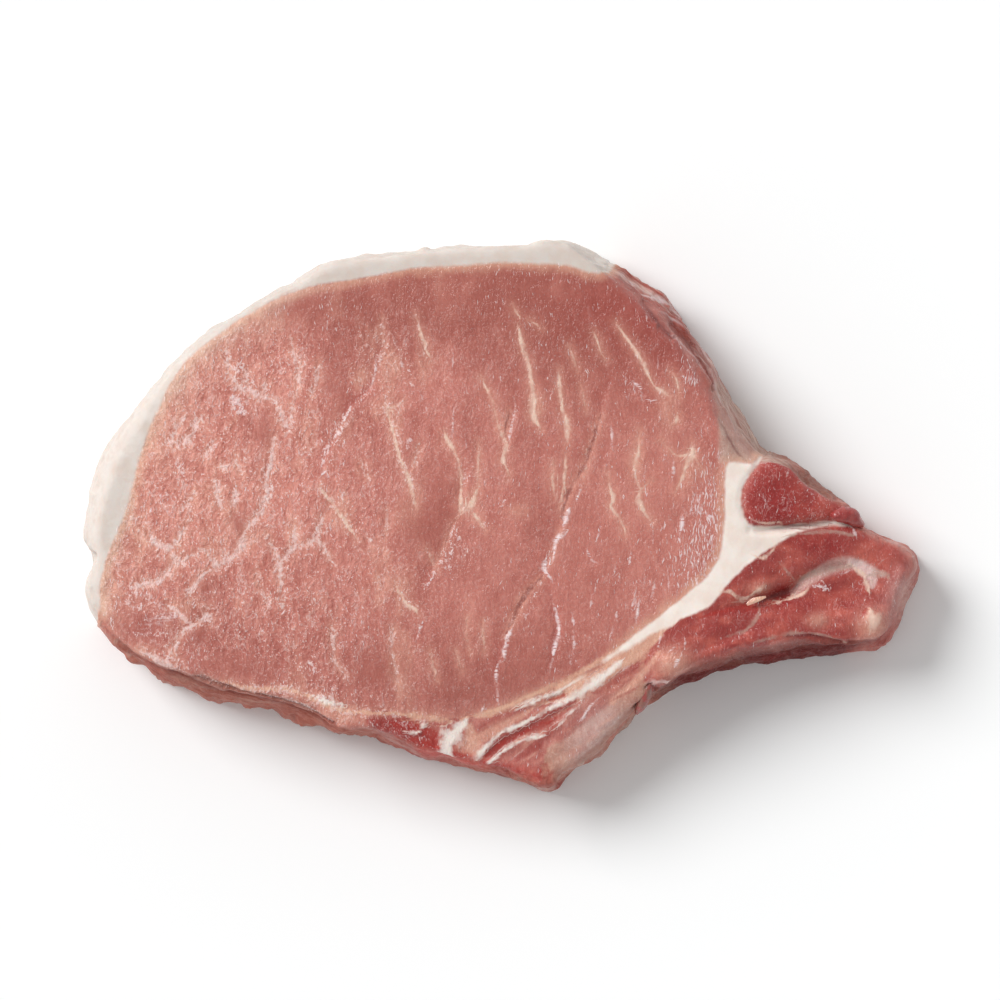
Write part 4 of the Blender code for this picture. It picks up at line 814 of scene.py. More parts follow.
def relief(skin, lines):
    """How far each point moves along its normal, and how much painted shade it gets for lying in a crevice.
    """
    place, plan, side, top = skin.place, skin.plan, skin.side, skin.top
    eye = step(-0.6, 0.6, -skin.fat) * skin.on["loin_eye"] * top
    fat = step(-0.2, 0.6, skin.fat)
    left = step(2.0, -30.0, plan[:, 0])
    shift = np.zeros(len(place))
    depth = np.zeros(len(place))

    # The loin eye: long soft bundles, finer fibres and the creases between bundles.
    calm = 1.0 - 0.7 * step(30.0, 40.0, plan[:, 1])
    shift += eye * calm * (0.09 + 0.09 * left) * layered(place, (5.0, 11.0, 8.0), 11)
    shift += eye * calm * (0.025 + 0.06 * left) * layered(place, (1.3, 2.6, 2.0), 12, 2)
    for path, deep, gentle, steep in CREASES:
        near, across, along = path_field(plan, smooth_path(path), PATH_REACH)
        taper = np.sin(np.pi * np.clip(along, 0.02, 0.98)) ** 0.5 * (near < PATH_REACH)
        width = np.where(across > 0.0, steep, gentle)
        shift -= top * deep * np.exp(-(near / width) ** 1.4) * taper
        shift += top * deep * 0.12 * np.exp(-((across - 2.2 * steep) / (1.4 * steep)) ** 2) * taper

    # Strokes lie in small dips or stand a little proud.
    shift -= lines.depth * np.exp(-(np.maximum(lines.gap, 0.0) / 0.5) ** 2)
    # Strokes in the deeper dips also get painted shade.
    depth = np.maximum(depth, 0.8 * step(0.2, 0.5, lines.depth) * step(0.4, 0.0, lines.gap))

    # The rib meat: folds and rises, and the sunk line round the swollen side muscle.
    rib = skin.on["rib_meat"] * 1.0
    for path, deep, width in RIB_FOLDS:
        near, across, along = path_field(plan, smooth_path(path), PATH_REACH)
        taper = np.sin(np.pi * np.clip(along, 0.04, 0.96)) ** 0.5 * (near < PATH_REACH)
        shift -= top * deep * np.exp(-(near / width) ** 1.6) * taper
    for height, middle, reach in RIB_RISES:
        shift += top * rib * height * spot(plan, middle, reach)
    muscle = skin.on["side_muscle"] * 1.0
    round_muscle = np.where(skin.on["side_muscle"], skin.gap["fat_seam"], 0.0)
    round_muscle = np.maximum(skin.gap["side_muscle"], round_muscle)
    shift += muscle * 0.5 * step(0.0, 2.5, skin.gap["fat_seam"])
    shift -= top * 0.35 * np.exp(-(round_muscle / 0.5) ** 2) * (plan[:, 0] > 40.0)

    # Every tissue has lumps of its own; the fat is smooth on the cut face and lumpy on the outside.
    foot = skin.zone(RAGGED_FOOT)
    under = skin.zone(ARM_UNDERSIDE)
    covers = {
        "rib": rib, "muscle": muscle, "strip": skin.on["lower_strip"], "bone": skin.on["bone_tip"],
        "fat_face": fat * top, "fat_side": fat * side, "meat": side * (1.0 - fat), "foot": foot,
        "under": under,
    }
    for where, height, size, seed, layers in LUMPS:
        shift += covers[where] * height * layered(place, size, seed, layers)

    # Silverskin: wrinkles that run along the wall, with painted shade in their hollows.
    silver = skin.zone(SILVERSKIN) * (1.0 - fat)
    waver = 1.6 * lumps(place, (7.0, 7.0, 9.0), 51) + 0.5 * lumps(place, (2.2, 2.2, 4.0), 52)
    wrinkled = place + waver[:, None] * np.array([0.0, 0.0, 1.0])
    shift += silver * 0.45 * layered(wrinkled, (14.0, 14.0, 2.6), 53)
    shift += silver * 0.28 * layered(wrinkled, (9.0, 9.0, 1.1), 54, 2)
    depth = np.maximum(depth, silver * 0.5 * step(0.15, 0.6, -layered(wrinkled, (11.0, 11.0, 1.3), 55, 2)))

    # The ragged foot: a crack under the rim, with painted shade in it, and torn meat below it.
    ledge = skin.share + 0.06 * lumps(place, (6.0, 6.0, 50.0), 61)
    shift -= foot * 1.0 * np.exp(-((ledge - 0.82) / 0.09) ** 2)
    depth = np.maximum(depth, 0.8 * foot * np.exp(-((ledge - 0.82) / 0.06) ** 2))
    torn = layered(place, (3.2, 3.2, 20.0), 62, 3)
    shift += foot * step(0.75, 0.45, ledge) * (0.5 + 1.8 * np.clip(torn, -0.5, 0.8))

    # The hollow under the arm, with painted shade in it.
    hollow = skin.share + 0.10 * lumps(place, (12.0, 12.0, 60.0), 64)
    shift -= under * 1.2 * np.exp(-((hollow - 0.60) / 0.16) ** 2)
    depth = np.maximum(depth, under * 0.5 * np.exp(-((hollow - 0.62) / 0.16) ** 2))

    # A nick with painted shade in it, tufts on the fat and rounded ends.
    nick = distance_to(plan, FAT_NICK, 3.0)
    nicked = side * step(5.0, 15.0, skin.height)
    shift -= nicked * 1.3 * np.exp(-(nick / 0.8) ** 2)
    depth = np.maximum(depth, nicked * np.exp(-(nick / 0.7) ** 2))
    for middle, reach, height in BULGES:
        upper = 1.0 if reach > 2.0 else step(10.0, 18.0, skin.height)
        shift += side * upper * height * spot(plan, middle, (reach, reach))
    return shift * (1.0 - skin.base), depth


# Colours of the skin, painted point by point in linear light.

def linear(colour):
    """A display colour in linear light."""
    return np.array([((channel + 0.055) / 1.055) ** 2.4 for channel in colour])


def paint(colours, weight, tone):
    """Lay a tone over the colours wherever the weight is above 0."""
    colours += np.clip(weight, 0.0, 1.0)[:, None] * (tone - colours)


def paint_bands(colours, plan, bands, tones):
    """Soft bands of colour along paths, each a tone, a strength and (x, y, half width) along it."""
    for tone, strength, points in bands:
        path = smooth_path(points)
        near, _, along = path_field(plan, path[:, :2], BAND_REACH)
        half = np.interp(along, np.linspace(0.0, 1.0, len(path)), path[:, 2])
        paint(colours, strength * step(1.3, 0.5, near / half) * (near < BAND_REACH), tones[tone])


def paint_patches(colours, plan, patches, tones, share=1.0):
    """Soft round or oval patches of colour, each a tone, a strength, a middle and a reach."""
    for tone, strength, middle, reach in patches:
        paint(colours, share * strength * spot(plan, middle, reach), tones[tone])


def paint_eye(colours, skin, tones):
    """The loin eye: deep pink under the fat cap, paler to the left and in the middle of the right."""
    place, plan = skin.place, skin.plan
    cap_band = distance_to(plan, CAP_BAND, 24.0)
    paint(colours, 0.72 * (1.0 - step(3.0, 17.0, cap_band)), tones["deep"])
    paint_patches(colours, plan, EYE_CLOUDS, tones)
    fans = layered(place, (3.6, 8.0, 6.0), 70, 3) * step(2.0, -20.0, plan[:, 0])
    paint(colours, 0.45 * step(0.1, 0.7, fans), tones["peach"])
    patches = layered(place, (5.0, 8.0, 8.0), 71, 3)
    paint(colours, 0.35 * step(0.05, 0.8, patches), tones["deep"])
    paint(colours, 0.35 * step(0.05, 0.8, -patches), tones["pale"])
    paint(colours, 0.35 * spot(plan, (-63.5, 14.0), (6.5, 8.0)), tones["peach"])
    tongues = step(-0.5, 0.6, layered(place, (2.2, 5.0, 4.0), 103, 2))
    inside = np.minimum(skin.fat + 1.0, 0.0)
    over_fat = 0.6 * np.exp(inside / (1.6 + 3.6 * tongues)) * step(-32.0, -48.0, plan[:, 0])
    paint(colours, over_fat, tones["peach"])
    thin_fat = 0.75 * np.exp(inside / (0.3 + 1.7 * tongues)) * step(-28.0, -40.0, plan[:, 0])
    paint(colours, thin_fat, tones["membrane"])
    paint_patches(colours, plan, EYE_TOUCHES, tones)
    for middle, reach in SMOOTH_PATCHES:
        paint(colours, 0.45 * spot(plan, middle, reach), tones["deep"])
    for middle, reach in PEACH_PATCHES:
        paint(colours, 0.38 * spot(plan, middle, reach), tones["peach"])


def paint_rib_side(colours, skin, tones):
    """The darker muscles on the rib side, the lower strip and the bone tip."""
    place, plan = skin.place, skin.plan
    muscle = skin.on["side_muscle"] * 1.0
    paint(colours, muscle, tones["rib"])
    flecks = layered(place, 2.4, 72)
    paint(colours, muscle * 0.65 * step(-0.2, 0.6, flecks), tones["flush"])
    paint(colours, muscle * 0.3, tones["blood"])
    core = 1.2 * spot(plan, (49.2, 1.2), (5.0, 4.2)) + 0.3 * step(0.1, 0.8, -flecks)
    paint(colours, muscle * core, tones["dark"])
    by_seam = np.exp(-(skin.gap["fat_seam"] / 0.8) ** 2) * (plan[:, 1] > 0.0)
    paint(colours, muscle * 0.8 * by_seam, tones["lean"])
    rib = skin.on["rib_meat"] * 1.0
    lobes = layered(place, (5.0, 3.0, 4.0), 73, 3)
    paint(colours, rib, tones["rib"])
    fine_lobes = layered(place, (2.2, 1.2, 2.0), 69, 3)
    paint(colours, rib * 0.55 * step(0.0, 0.6, lobes), tones["flush"])
    paint(colours, rib * 0.6 * step(0.0, 0.7, -lobes), tones["dark"])
    paint(colours, rib * 0.6 * step(0.05, 0.6, fine_lobes), tones["flush"])
    paint(colours, rib * 0.45 * step(0.1, 0.6, -fine_lobes), tones["dark"])
    paint_patches(colours, plan, RIB_TOUCHES, tones, rib)
    paint_bands(colours, plan, ARM_BANDS, tones)
    corner = step(38.4, 39.6, plan[:, 0]) * step(8.2, 9.4, plan[:, 1]) * step(27.0, 19.0, plan[:, 1])
    paint(colours, 0.85 * corner * skin.on["loin_eye"], tones["membrane"])
    strip = skin.on["lower_strip"] * 1.0
    bands = layered(place, (3.2, 2.0, 3.0), 74, 3)
    paint(colours, strip, tones["lean"])
    paint(colours, strip * 0.6 * step(-0.2, 0.6, bands), tones["rib"])
    right = step(-12.0, -4.0, plan[:, 0])
    streaks = streaked(place, (9.0, 1.3, 3.0), 99)
    tail = skin.on["fat_seam"] * step(38.0, 30.0, plan[:, 0]) * step(-15.0, -18.0, plan[:, 1])
    paint(colours, tail * 0.75, tones["halo"])
    tail *= step(23.0, 15.0, plan[:, 0])
    paint(colours, np.maximum(strip * right, 0.5 * tail) * 0.8 * step(0.0, 0.35, streaks), tones["rib"])
    paint(colours, np.maximum(strip * right, tail) * 0.7 * step(0.1, 0.4, -streaks), tones["peach"])
    paint_patches(colours, plan, STRIP_TOUCHES, tones, strip)
    bone = skin.on["bone_tip"] * 1.0
    paint(colours, bone, tones["bone"])
    paint(colours, bone * 0.5 * step(0.1, 0.7, layered(place, 3.0, 75, 3)), tones["rib"])
    paint(colours, bone * 0.7 * spot(plan, (15.0, -42.0), (4.0, 5.0)), tones["silver"])
    paint(colours, bone * 0.6 * step(0.15, 0.5, streaked(place, (6.0, 1.5, 3.0), 100)), tones["lean"])
    paint(colours, 0.9 * spot(plan, (19.0, -38.0), (5.0, 4.2)) * (plan[:, 1] < -32.0), tones["silver"])
    paint_bands(colours, plan, STRIP_BANDS, tones)
    strands = step(0.05, 0.4, streaks) * spot(plan, (14.0, -38.0), (10.0, 6.0)) * (strip + bone)
    paint(colours, 0.5 * strands, tones["peach"])
    rim = step(0.985, 0.85, skin.normal[:, 2]) * step(13.0, 18.0, skin.height)
    edge = distance_to(plan, BLOOD_EDGE, BAND_REACH)
    paint(colours, rim * step(5.0, 2.5, edge) * step(-0.5, 0.1, layered(place, 2.5, 89, 2)), tones["blood"])
    tip_skin = spot(plan, (19.0, -38.5), (6.0, 6.0)) * (plan[:, 1] < -32.0)
    paint(colours, 0.6 * tip_skin * step(0.0, 0.5, layered(place, (1.6, 3.5, 3.0), 90, 3)), tones["lean"])
    paint(colours, 0.8 * skin.side * spot(plan, (16.5, -45.0), (4.0, 3.0)), tones["rib"])


def paint_wall(colours, skin, tones):
    """The outer wall away from the fat: raw meat, silverskin and the hollow under the arm in painted shade.
    """
    place, plan, side = skin.place, skin.plan, skin.side
    bundles = layered(place, (4.0, 4.0, 14.0), 80, 3)
    streaks = layered(place, (1.2, 1.2, 9.0), 81, 3)
    clouds = layered(place, (10.0, 10.0, 6.0), 82, 3)
    paint(colours, side * 0.9, tones["wall"])
    paint(colours, side * 0.6 * step(0.0, 0.6, bundles), tones["lean"])
    paint(colours, side * 0.6 * step(0.0, 0.6, -bundles), tones["rib"])
    paint(colours, side * 0.5 * step(0.25, 0.7, streaks) * step(-0.3, 0.3, clouds), tones["membrane"])
    paint(colours, side * 0.4 * step(0.2, 0.7, -clouds), tones["maroon"])
    silver = skin.zone(SILVERSKIN)
    sheets = layered(place, (14.0, 14.0, 2.0), 76, 3)
    patches = layered(place, (7.0, 7.0, 3.6), 88, 3)
    paint(colours, side * 0.65 * step(0.12, 0.5, patches), tones["silver"])
    paint(colours, silver * 0.42, tones["rib"])
    paint(colours, silver * step(-0.3, 0.5, sheets), tones["silver"])
    paint(colours, skin.zone(GREY_SKIN, 1.5, 5.0) * 0.8, tones["membrane"])
    paint(colours, skin.zone(SIDE_SKIN, 2.0, 6.0) * 0.9, tones["brown"])
    foot = skin.zone(RAGGED_FOOT)
    paint(colours, foot * 0.7, tones["wall"])
    paint(colours, foot * 0.35 * step(0.0, 0.6, layered(place, (5.0, 5.0, 1.6), 77, 3)), tones["membrane"])
    under = skin.zone(ARM_UNDERSIDE)
    # Painted shade: the wall under the arm turns to the crevice tone below its top edge.
    paint(colours, under * step(1.0, 0.86, skin.share + 0.05 * clouds), tones["maroon"])
    paint(colours, 0.5 * under * step(0.1, 0.6, layered(place, (7.0, 7.0, 3.0), 78, 3)), tones["dark"])
    tan = step(0.90, 0.97, skin.share + 0.04 * clouds)
    paint(colours, 0.28 * under * tan, tones["bone"])
    paint(colours, 0.5 * under * step(0.1, 0.6, layered(place, (6.0, 6.0, 3.0), 79, 3)), tones["brown"])
    paint(colours, 0.65 * skin.zone(TIP_WALL) * step(-0.5, 0.4, clouds), tones["membrane"])
    end = skin.zone(ARM_END)
    paint(colours, end * 0.6, tones["rib"])
    paint(colours, end * 0.85 * step(-0.6, 0.4, bundles), tones["lean"])
    paint(colours, end * 0.5 * step(-0.2, 0.5, clouds), tones["silver"])
    paint(colours, end * 0.35 * step(0.0, 0.6, -clouds), tones["dark"])
    paint(colours, 0.6 * spot(plan, (72.0, -15.5), (3.0, 5.0)), tones["silver"])
    paint(colours, 0.6 * skin.top * spot(plan, (-18.0, -37.8), (5.0, 1.6)), tones["dark"])
    red = side * spot(plan, (-15.0, -43.0), (9.0, 5.0)) * step(-0.6, 0.3, clouds)
    paint(colours, 0.7 * red, tones["rib"])
    edge = distance_to(plan, BLOOD_EDGE, BAND_REACH)
    ragged = skin.share + 0.2 * layered(place, (3.0, 3.0, 9.0), 103, 3)
    bloody = step(3.4, 1.2, edge) * step(0.5, 0.85, ragged) * step(-0.6, 0.1, bundles)
    paint(colours, 0.6 * np.maximum(side, 0.6) * bloody, tones["flush"] * np.array([1.0, 0.45, 0.45]))


def flesh_colours(skin, depth, tones):
    """The broad colour of every point under the fat, the veins and the grain."""
    colours = np.tile(tones["lean"], (len(skin.place), 1))
    paint_eye(colours, skin, tones)
    paint_rib_side(colours, skin, tones)
    paint_wall(colours, skin, tones)
    # Painted shade: crevices, cracks, wrinkle hollows and the hollow under the arm in the crevice tone.
    paint(colours, 0.85 * depth, tones["maroon"])
    return colours


def frost_cover(skin, lines, frost):
    """Where pale granules stand thick, partly as painted glints: in frosted streaks and along the lacework.
    """
    speckled = frost.gap + 0.5 * layered(skin.place, 1.6, 83, 2)
    cover = step(0.45, -0.25, speckled)
    lace = step(-6.0, -16.0, skin.plan[:, 0]) * (lines.half > 0.0)
    ragged = lines.gap + 0.7 * layered(skin.place, 2.0, 84, 2)
    cover = np.maximum(cover, 0.75 * lace * step(1.0, 0.0, ragged))
    return np.clip(cover, 0.0, 1.0) * skin.top


def granular_cover(skin):
    """How coarse and granular the cut muscle is: more to the left, smooth in some patches."""
    plan = skin.plan
    cover = 0.22 + 0.78 * step(6.0, -46.0, plan[:, 0]) + 0.22 * layered(skin.place, (6.0, 8.0, 8.0), 85, 3)
    cover *= 1.0 - 0.75 * step(30.0, 40.0, plan[:, 1]) * step(-50.0, -36.0, plan[:, 0])
    cover = np.maximum(cover, 0.5 * skin.on["side_muscle"])
    cover = np.maximum(cover, 0.26 * (skin.on["rib_meat"] | skin.on["lower_strip"]))
    for middle, reach in SMOOTH_PATCHES:
        cover *= 1.0 - 0.8 * spot(plan, middle, reach)
    return np.clip(cover, 0.0, 1.0) * skin.top


def wet_cover(skin):
    """Where fine painted glints stand close together along the fibres."""
    plan = skin.plan
    cover = 0.78 * spot(plan, (37.2, -1.0), (3.0, 12.0)) + 0.5 * spot(plan, (32.5, -9.0), (4.0, 6.0))
    cover += 0.6 * spot(plan, (33.8, 24.0), (2.0, 3.0)) + 0.34 * step(-24.0, 8.0, plan[:, 0])
    cover *= skin.on["loin_eye"]
    patchy = step(-0.4, 0.3, layered(skin.place, (5.0, 7.0, 8.0), 101))
    cover += 0.52 * step(-10.0, -30.0, plan[:, 0]) * skin.on["loin_eye"] * patchy
    cover += 0.34 * skin.on["side_muscle"]
    cover += 0.30 * (skin.on["rib_meat"] | skin.on["lower_strip"] | skin.on["bone_tip"])
    return np.clip(cover, 0.0, 1.0) * skin.top


def set_attribute(mesh, name, kind, values):
    """Store one value for every point of a mesh."""
    attribute = mesh.attributes.new(name, kind, "POINT")
    field = {"FLOAT": "value", "FLOAT_VECTOR": "vector", "FLOAT_COLOR": "color"}[kind]
    attribute.data.foreach_set(field, np.ascontiguousarray(values, dtype=np.float32).ravel())


# Materials.

TRANSLUCENCY = {"Subsurface Weight": 0.15, "Subsurface Radius": (1.0, 0.35, 0.22)}


class Graph:
    """A shader node tree that grows by one call for each node."""

    def __init__(self, tree):
        self.tree = tree

    def feed(self, socket, value):
        if isinstance(value, bpy.types.NodeSocket):
            self.tree.links.new(value, socket)
        else:
            socket.default_value = value

    def node(self, kind, inputs=None, **settings):
        made = self.tree.nodes.new("ShaderNode" + kind)
        for key, value in settings.items():
            setattr(made, key, value)
        for key, value in (inputs or {}).items():
            self.feed(made.inputs[key], value)
        return made

    def math(self, operation, *values):
        return self.node("Math", dict(enumerate(values)), operation=operation).outputs[0]

    def times(self, first, second):
        return self.math("MULTIPLY", first, second)

    def plus(self, first, second):
        return self.math("ADD", first, second)

    def minus(self, first, second):
        return self.math("SUBTRACT", first, second)

    def centred(self, value):
        return self.math("SUBTRACT", value, 0.5)

    def scaled(self, value, factor, offset):
        return self.math("MULTIPLY_ADD", value, factor, offset)

    def vector(self, operation, *values):
        return self.node("VectorMath", dict(enumerate(values)), operation=operation).outputs[0]

    def mix(self, factor, first, second, blend="MIX"):
        made = self.node("Mix", data_type="RGBA", blend_type=blend)
        for index, value in ((0, factor), (6, first), (7, second)):
            self.feed(made.inputs[index], value)
        return made.outputs[2]

    def ramp(self, value, low, high, start=0.0, end=1.0):
        made = self.node("MapRange", dict(enumerate((value, low, high, start, end))))
        made.interpolation_type = "SMOOTHSTEP"
        return made.outputs[0]

    def noise(self, place, size, detail, shift):
        """Noise from 0 to 1, moved away from every other noise by its own shift."""
        moved = self.vector("ADD", place, (shift, shift * 0.7, shift * 1.3))
        scaled = self.vector("DIVIDE", moved, size if isinstance(size, tuple) else (size,) * 3)
        made = self.node("TexNoise", {"Vector": scaled, "Scale": 1.0, "Detail": detail, "Roughness": 0.55})
        return made.outputs[0]

    def drift(self, place, size, detail):
        """Three separate noises in one vector."""
        scaled = self.vector("DIVIDE", place, (size,) * 3)
        return self.node("TexNoise", {"Vector": scaled, "Scale": 1.0, "Detail": detail}).outputs[1]

    def bent(self, place, size, detail, reach):
        """The place moved about smoothly, so that what is drawn there isn't straight."""
        off = self.vector("SUBTRACT", self.drift(place, size, detail), (0.5, 0.5, 0.5))
        return self.vector("ADD", place, self.vector("MULTIPLY", off, (reach,) * 3))

    def millimetres(self):
        """Object coordinates in millimetres."""
        return self.vector("MULTIPLY", self.node("TexCoord").outputs["Object"], (1.0 / MM,) * 3)

    def attribute(self, name, output="Fac"):
        return self.node("Attribute", attribute_name=name).outputs[output]

    def split(self, vector):
        return self.node("SeparateXYZ", {0: vector}).outputs


def shader_group(name, inputs, outputs):
    """A shader node group with named inputs and outputs."""
    tree = bpy.data.node_groups.new(name, "ShaderNodeTree")
    for label, kind in inputs:
        tree.interface.new_socket(name=label, in_out="INPUT", socket_type="NodeSocket" + kind)
    for label, kind in outputs:
        tree.interface.new_socket(name=label, in_out="OUTPUT", socket_type="NodeSocket" + kind)
    inlet = tree.nodes.new("NodeGroupInput")
    outlet = tree.nodes.new("NodeGroupOutput")
    return Graph(tree), inlet.outputs, outlet.inputs


def use_group(graph, name, **inputs):
    """Outputs of one use of a node group."""
    made = graph.tree.nodes.new("ShaderNodeGroup")
    made.node_tree = bpy.data.node_groups[name]
    for key, value in inputs.items():
        graph.feed(made.inputs[key.replace("_", " ")], value)
    return made.outputs


def make_grain_group():
    """Muscle cut across the grain: soft mottling, long fibres and swollen fibre ends, some of them pale,
    and pinpoints of painted glint.
    """
    graph, inlet, outlet = shader_group(
        "Muscle grain",
        [("Place", "Vector"), ("Granular", "Float"), ("Frost", "Float")],
        [(name, "Float") for name in ("Shade", "Fibres", "Ends", "Specks", "Pinpoints", "Seams")],
    )
    place, granular, frost = inlet["Place"], inlet["Granular"], inlet["Frost"]
    bent = graph.bent(place, 3.0, 1.0, 1.8)
    mottle = graph.noise(bent, (2.6, 4.2, 3.0), 3.0, 11.0)
    fibres = graph.noise(bent, (0.34, 3.2, 1.2), 2.0, 23.0)
    ends = graph.noise(bent, (0.56, 0.80, 0.7), 1.5, 37.0)
    fine = graph.noise(place, (0.24, 0.30, 0.3), 1.0, 43.0)
    shade = graph.scaled(mottle, 0.28, 0.86)
    shade = graph.times(shade, graph.scaled(fibres, 0.32, 0.84))
    coarse = graph.times(graph.centred(ends), graph.scaled(granular, 0.42, 0.22))
    shade = graph.times(shade, graph.plus(coarse, 1.0))
    grit = graph.times(graph.centred(fine), graph.scaled(granular, 0.35, 0.10))
    shade = graph.times(shade, graph.plus(grit, 1.0))
    halfway = graph.math("ABSOLUTE", graph.centred(ends))
    wrinkles = graph.times(graph.ramp(halfway, 0.035, 0.0), graph.scaled(granular, 0.18, -0.18))
    shade = graph.times(shade, graph.plus(wrinkles, 1.0))
    bundles = graph.noise(bent, (1.5, 2.9, 2.0), 2.0, 53.0)
    swollen = graph.times(graph.centred(bundles), graph.scaled(granular, 0.75, 0.15))
    shade = graph.times(shade, graph.plus(swollen, 1.0))
    graph.feed(outlet["Shade"], shade)
    seams = graph.ramp(graph.math("ABSOLUTE", graph.centred(bundles)), 0.030, 0.004)
    seams = graph.times(seams, graph.ramp(mottle, 0.42, 0.58))
    graph.feed(outlet["Seams"], graph.times(seams, granular))
    graph.feed(outlet["Fibres"], fibres)
    graph.feed(outlet["Ends"], ends)
    mixed = graph.scaled(fine, 0.3, graph.times(ends, 0.7))
    low = graph.scaled(granular, -0.13, 0.67)
    low = graph.scaled(frost, -0.13, low)
    specks = graph.ramp(mixed, low, graph.plus(low, 0.12))
    either = graph.math("MAXIMUM", granular, frost)
    pins = graph.times(graph.ramp(fine, 0.60, 0.68), graph.ramp(ends, 0.47, 0.56))
    graph.feed(outlet["Pinpoints"], graph.times(pins, graph.ramp(either, 0.1, 0.9)))
    graph.feed(outlet["Specks"], graph.times(specks, graph.ramp(either, 0.3, 0.6)))


def make_line_group():
    """A soft-edged vein, streak or furrow, uneven in width and strength, rougher in granular meat."""
    graph, inlet, outlet = shader_group(
        "Drawn line",
        [("Place", "Vector"), ("Line", "Vector"), ("Broken", "Float")],
        [("Mask", "Float")],
    )
    across, near, half = graph.split(inlet["Line"])
    waver, uneven, strength = graph.split(graph.drift(inlet["Place"], 1.7, 2.0))
    waver = graph.scaled(waver, 0.6, -0.3)
    off = graph.math("ABSOLUTE", graph.plus(across, waver))
    grit = graph.centred(graph.noise(inlet["Place"], (0.55, 0.7, 0.6), 1.0, 15.0))
    rough = graph.times(grit, graph.scaled(inlet["Broken"], 1.1, 0.1))
    width = graph.times(half, graph.scaled(uneven, 3.2, -0.6))
    share = graph.math("DIVIDE", graph.plus(off, rough), graph.scaled(width, 0.85, 0.06))
    line = graph.ramp(share, 1.45, 0.15)
    line = graph.times(line, graph.ramp(half, 0.0, 0.3))
    patchy = graph.math("MAXIMUM", graph.ramp(strength, 0.3, 0.6, 0.3, 1.0), graph.ramp(half, 0.5, 1.0))
    line = graph.times(line, patchy)
    close = graph.ramp(graph.minus(near, half), 0.9, 0.4)
    graph.feed(outlet["Mask"], graph.times(line, close))


def make_glint_group():
    """Short bright strokes, painted highlights where moisture catches the light along the fibres."""
    graph, inlet, outlet = shader_group(
        "Wet glints", [("Place", "Vector"), ("Amount", "Float")], [("Mask", "Float")]
    )
    place = inlet["Place"]
    sway = graph.scaled(graph.noise(place, 3.0, 1.0, 91.0), 1.6, -0.8)
    swayed = graph.vector("ADD", place, graph.node("CombineXYZ", {0: sway}).outputs[0])
    strokes = graph.noise(swayed, (0.25, 1.9, 1.2), 2.0, 71.0)
    fine = graph.noise(swayed, (0.20, 0.8, 0.8), 1.0, 83.0)
    both = graph.scaled(fine, 0.3, graph.times(strokes, 0.7))
    low = graph.scaled(inlet["Amount"], -0.165, 0.69)
    mask = graph.ramp(both, low, graph.plus(low, 0.035))
    graph.feed(outlet["Mask"], graph.times(mask, graph.ramp(inlet["Amount"], 0.02, 0.3)))


def make_wall_group():
    """The raw outer wall: bundles of fibre from cut to cut, crossed by wrinkled skin."""
    graph, inlet, outlet = shader_group(
        "Raw wall", [("Place", "Vector"), ("Wrinkled", "Float")], [("Bundles", "Float"), ("Veil", "Float")]
    )
    place, wrinkled = inlet["Place"], inlet["Wrinkled"]
    swayed = graph.bent(place, 4.0, 2.0, 2.6)
    bundles = graph.noise(swayed, (0.9, 0.9, 2.8), 3.0, 33.0)
    wrinkles = graph.noise(swayed, (4.0, 4.0, 0.42), 3.0, 39.0)
    crossed = graph.times(wrinkled, graph.minus(wrinkles, bundles))
    blend = graph.plus(bundles, crossed)
    graph.feed(outlet["Bundles"], blend)
    thin = graph.noise(place, (4.0, 4.0, 2.6), 3.0, 57.0)
    veil = graph.times(graph.ramp(blend, 0.45, 0.72), graph.ramp(thin, 0.40, 0.65))
    graph.feed(outlet["Veil"], graph.times(veil, graph.scaled(wrinkled, 0.55, 0.45)))


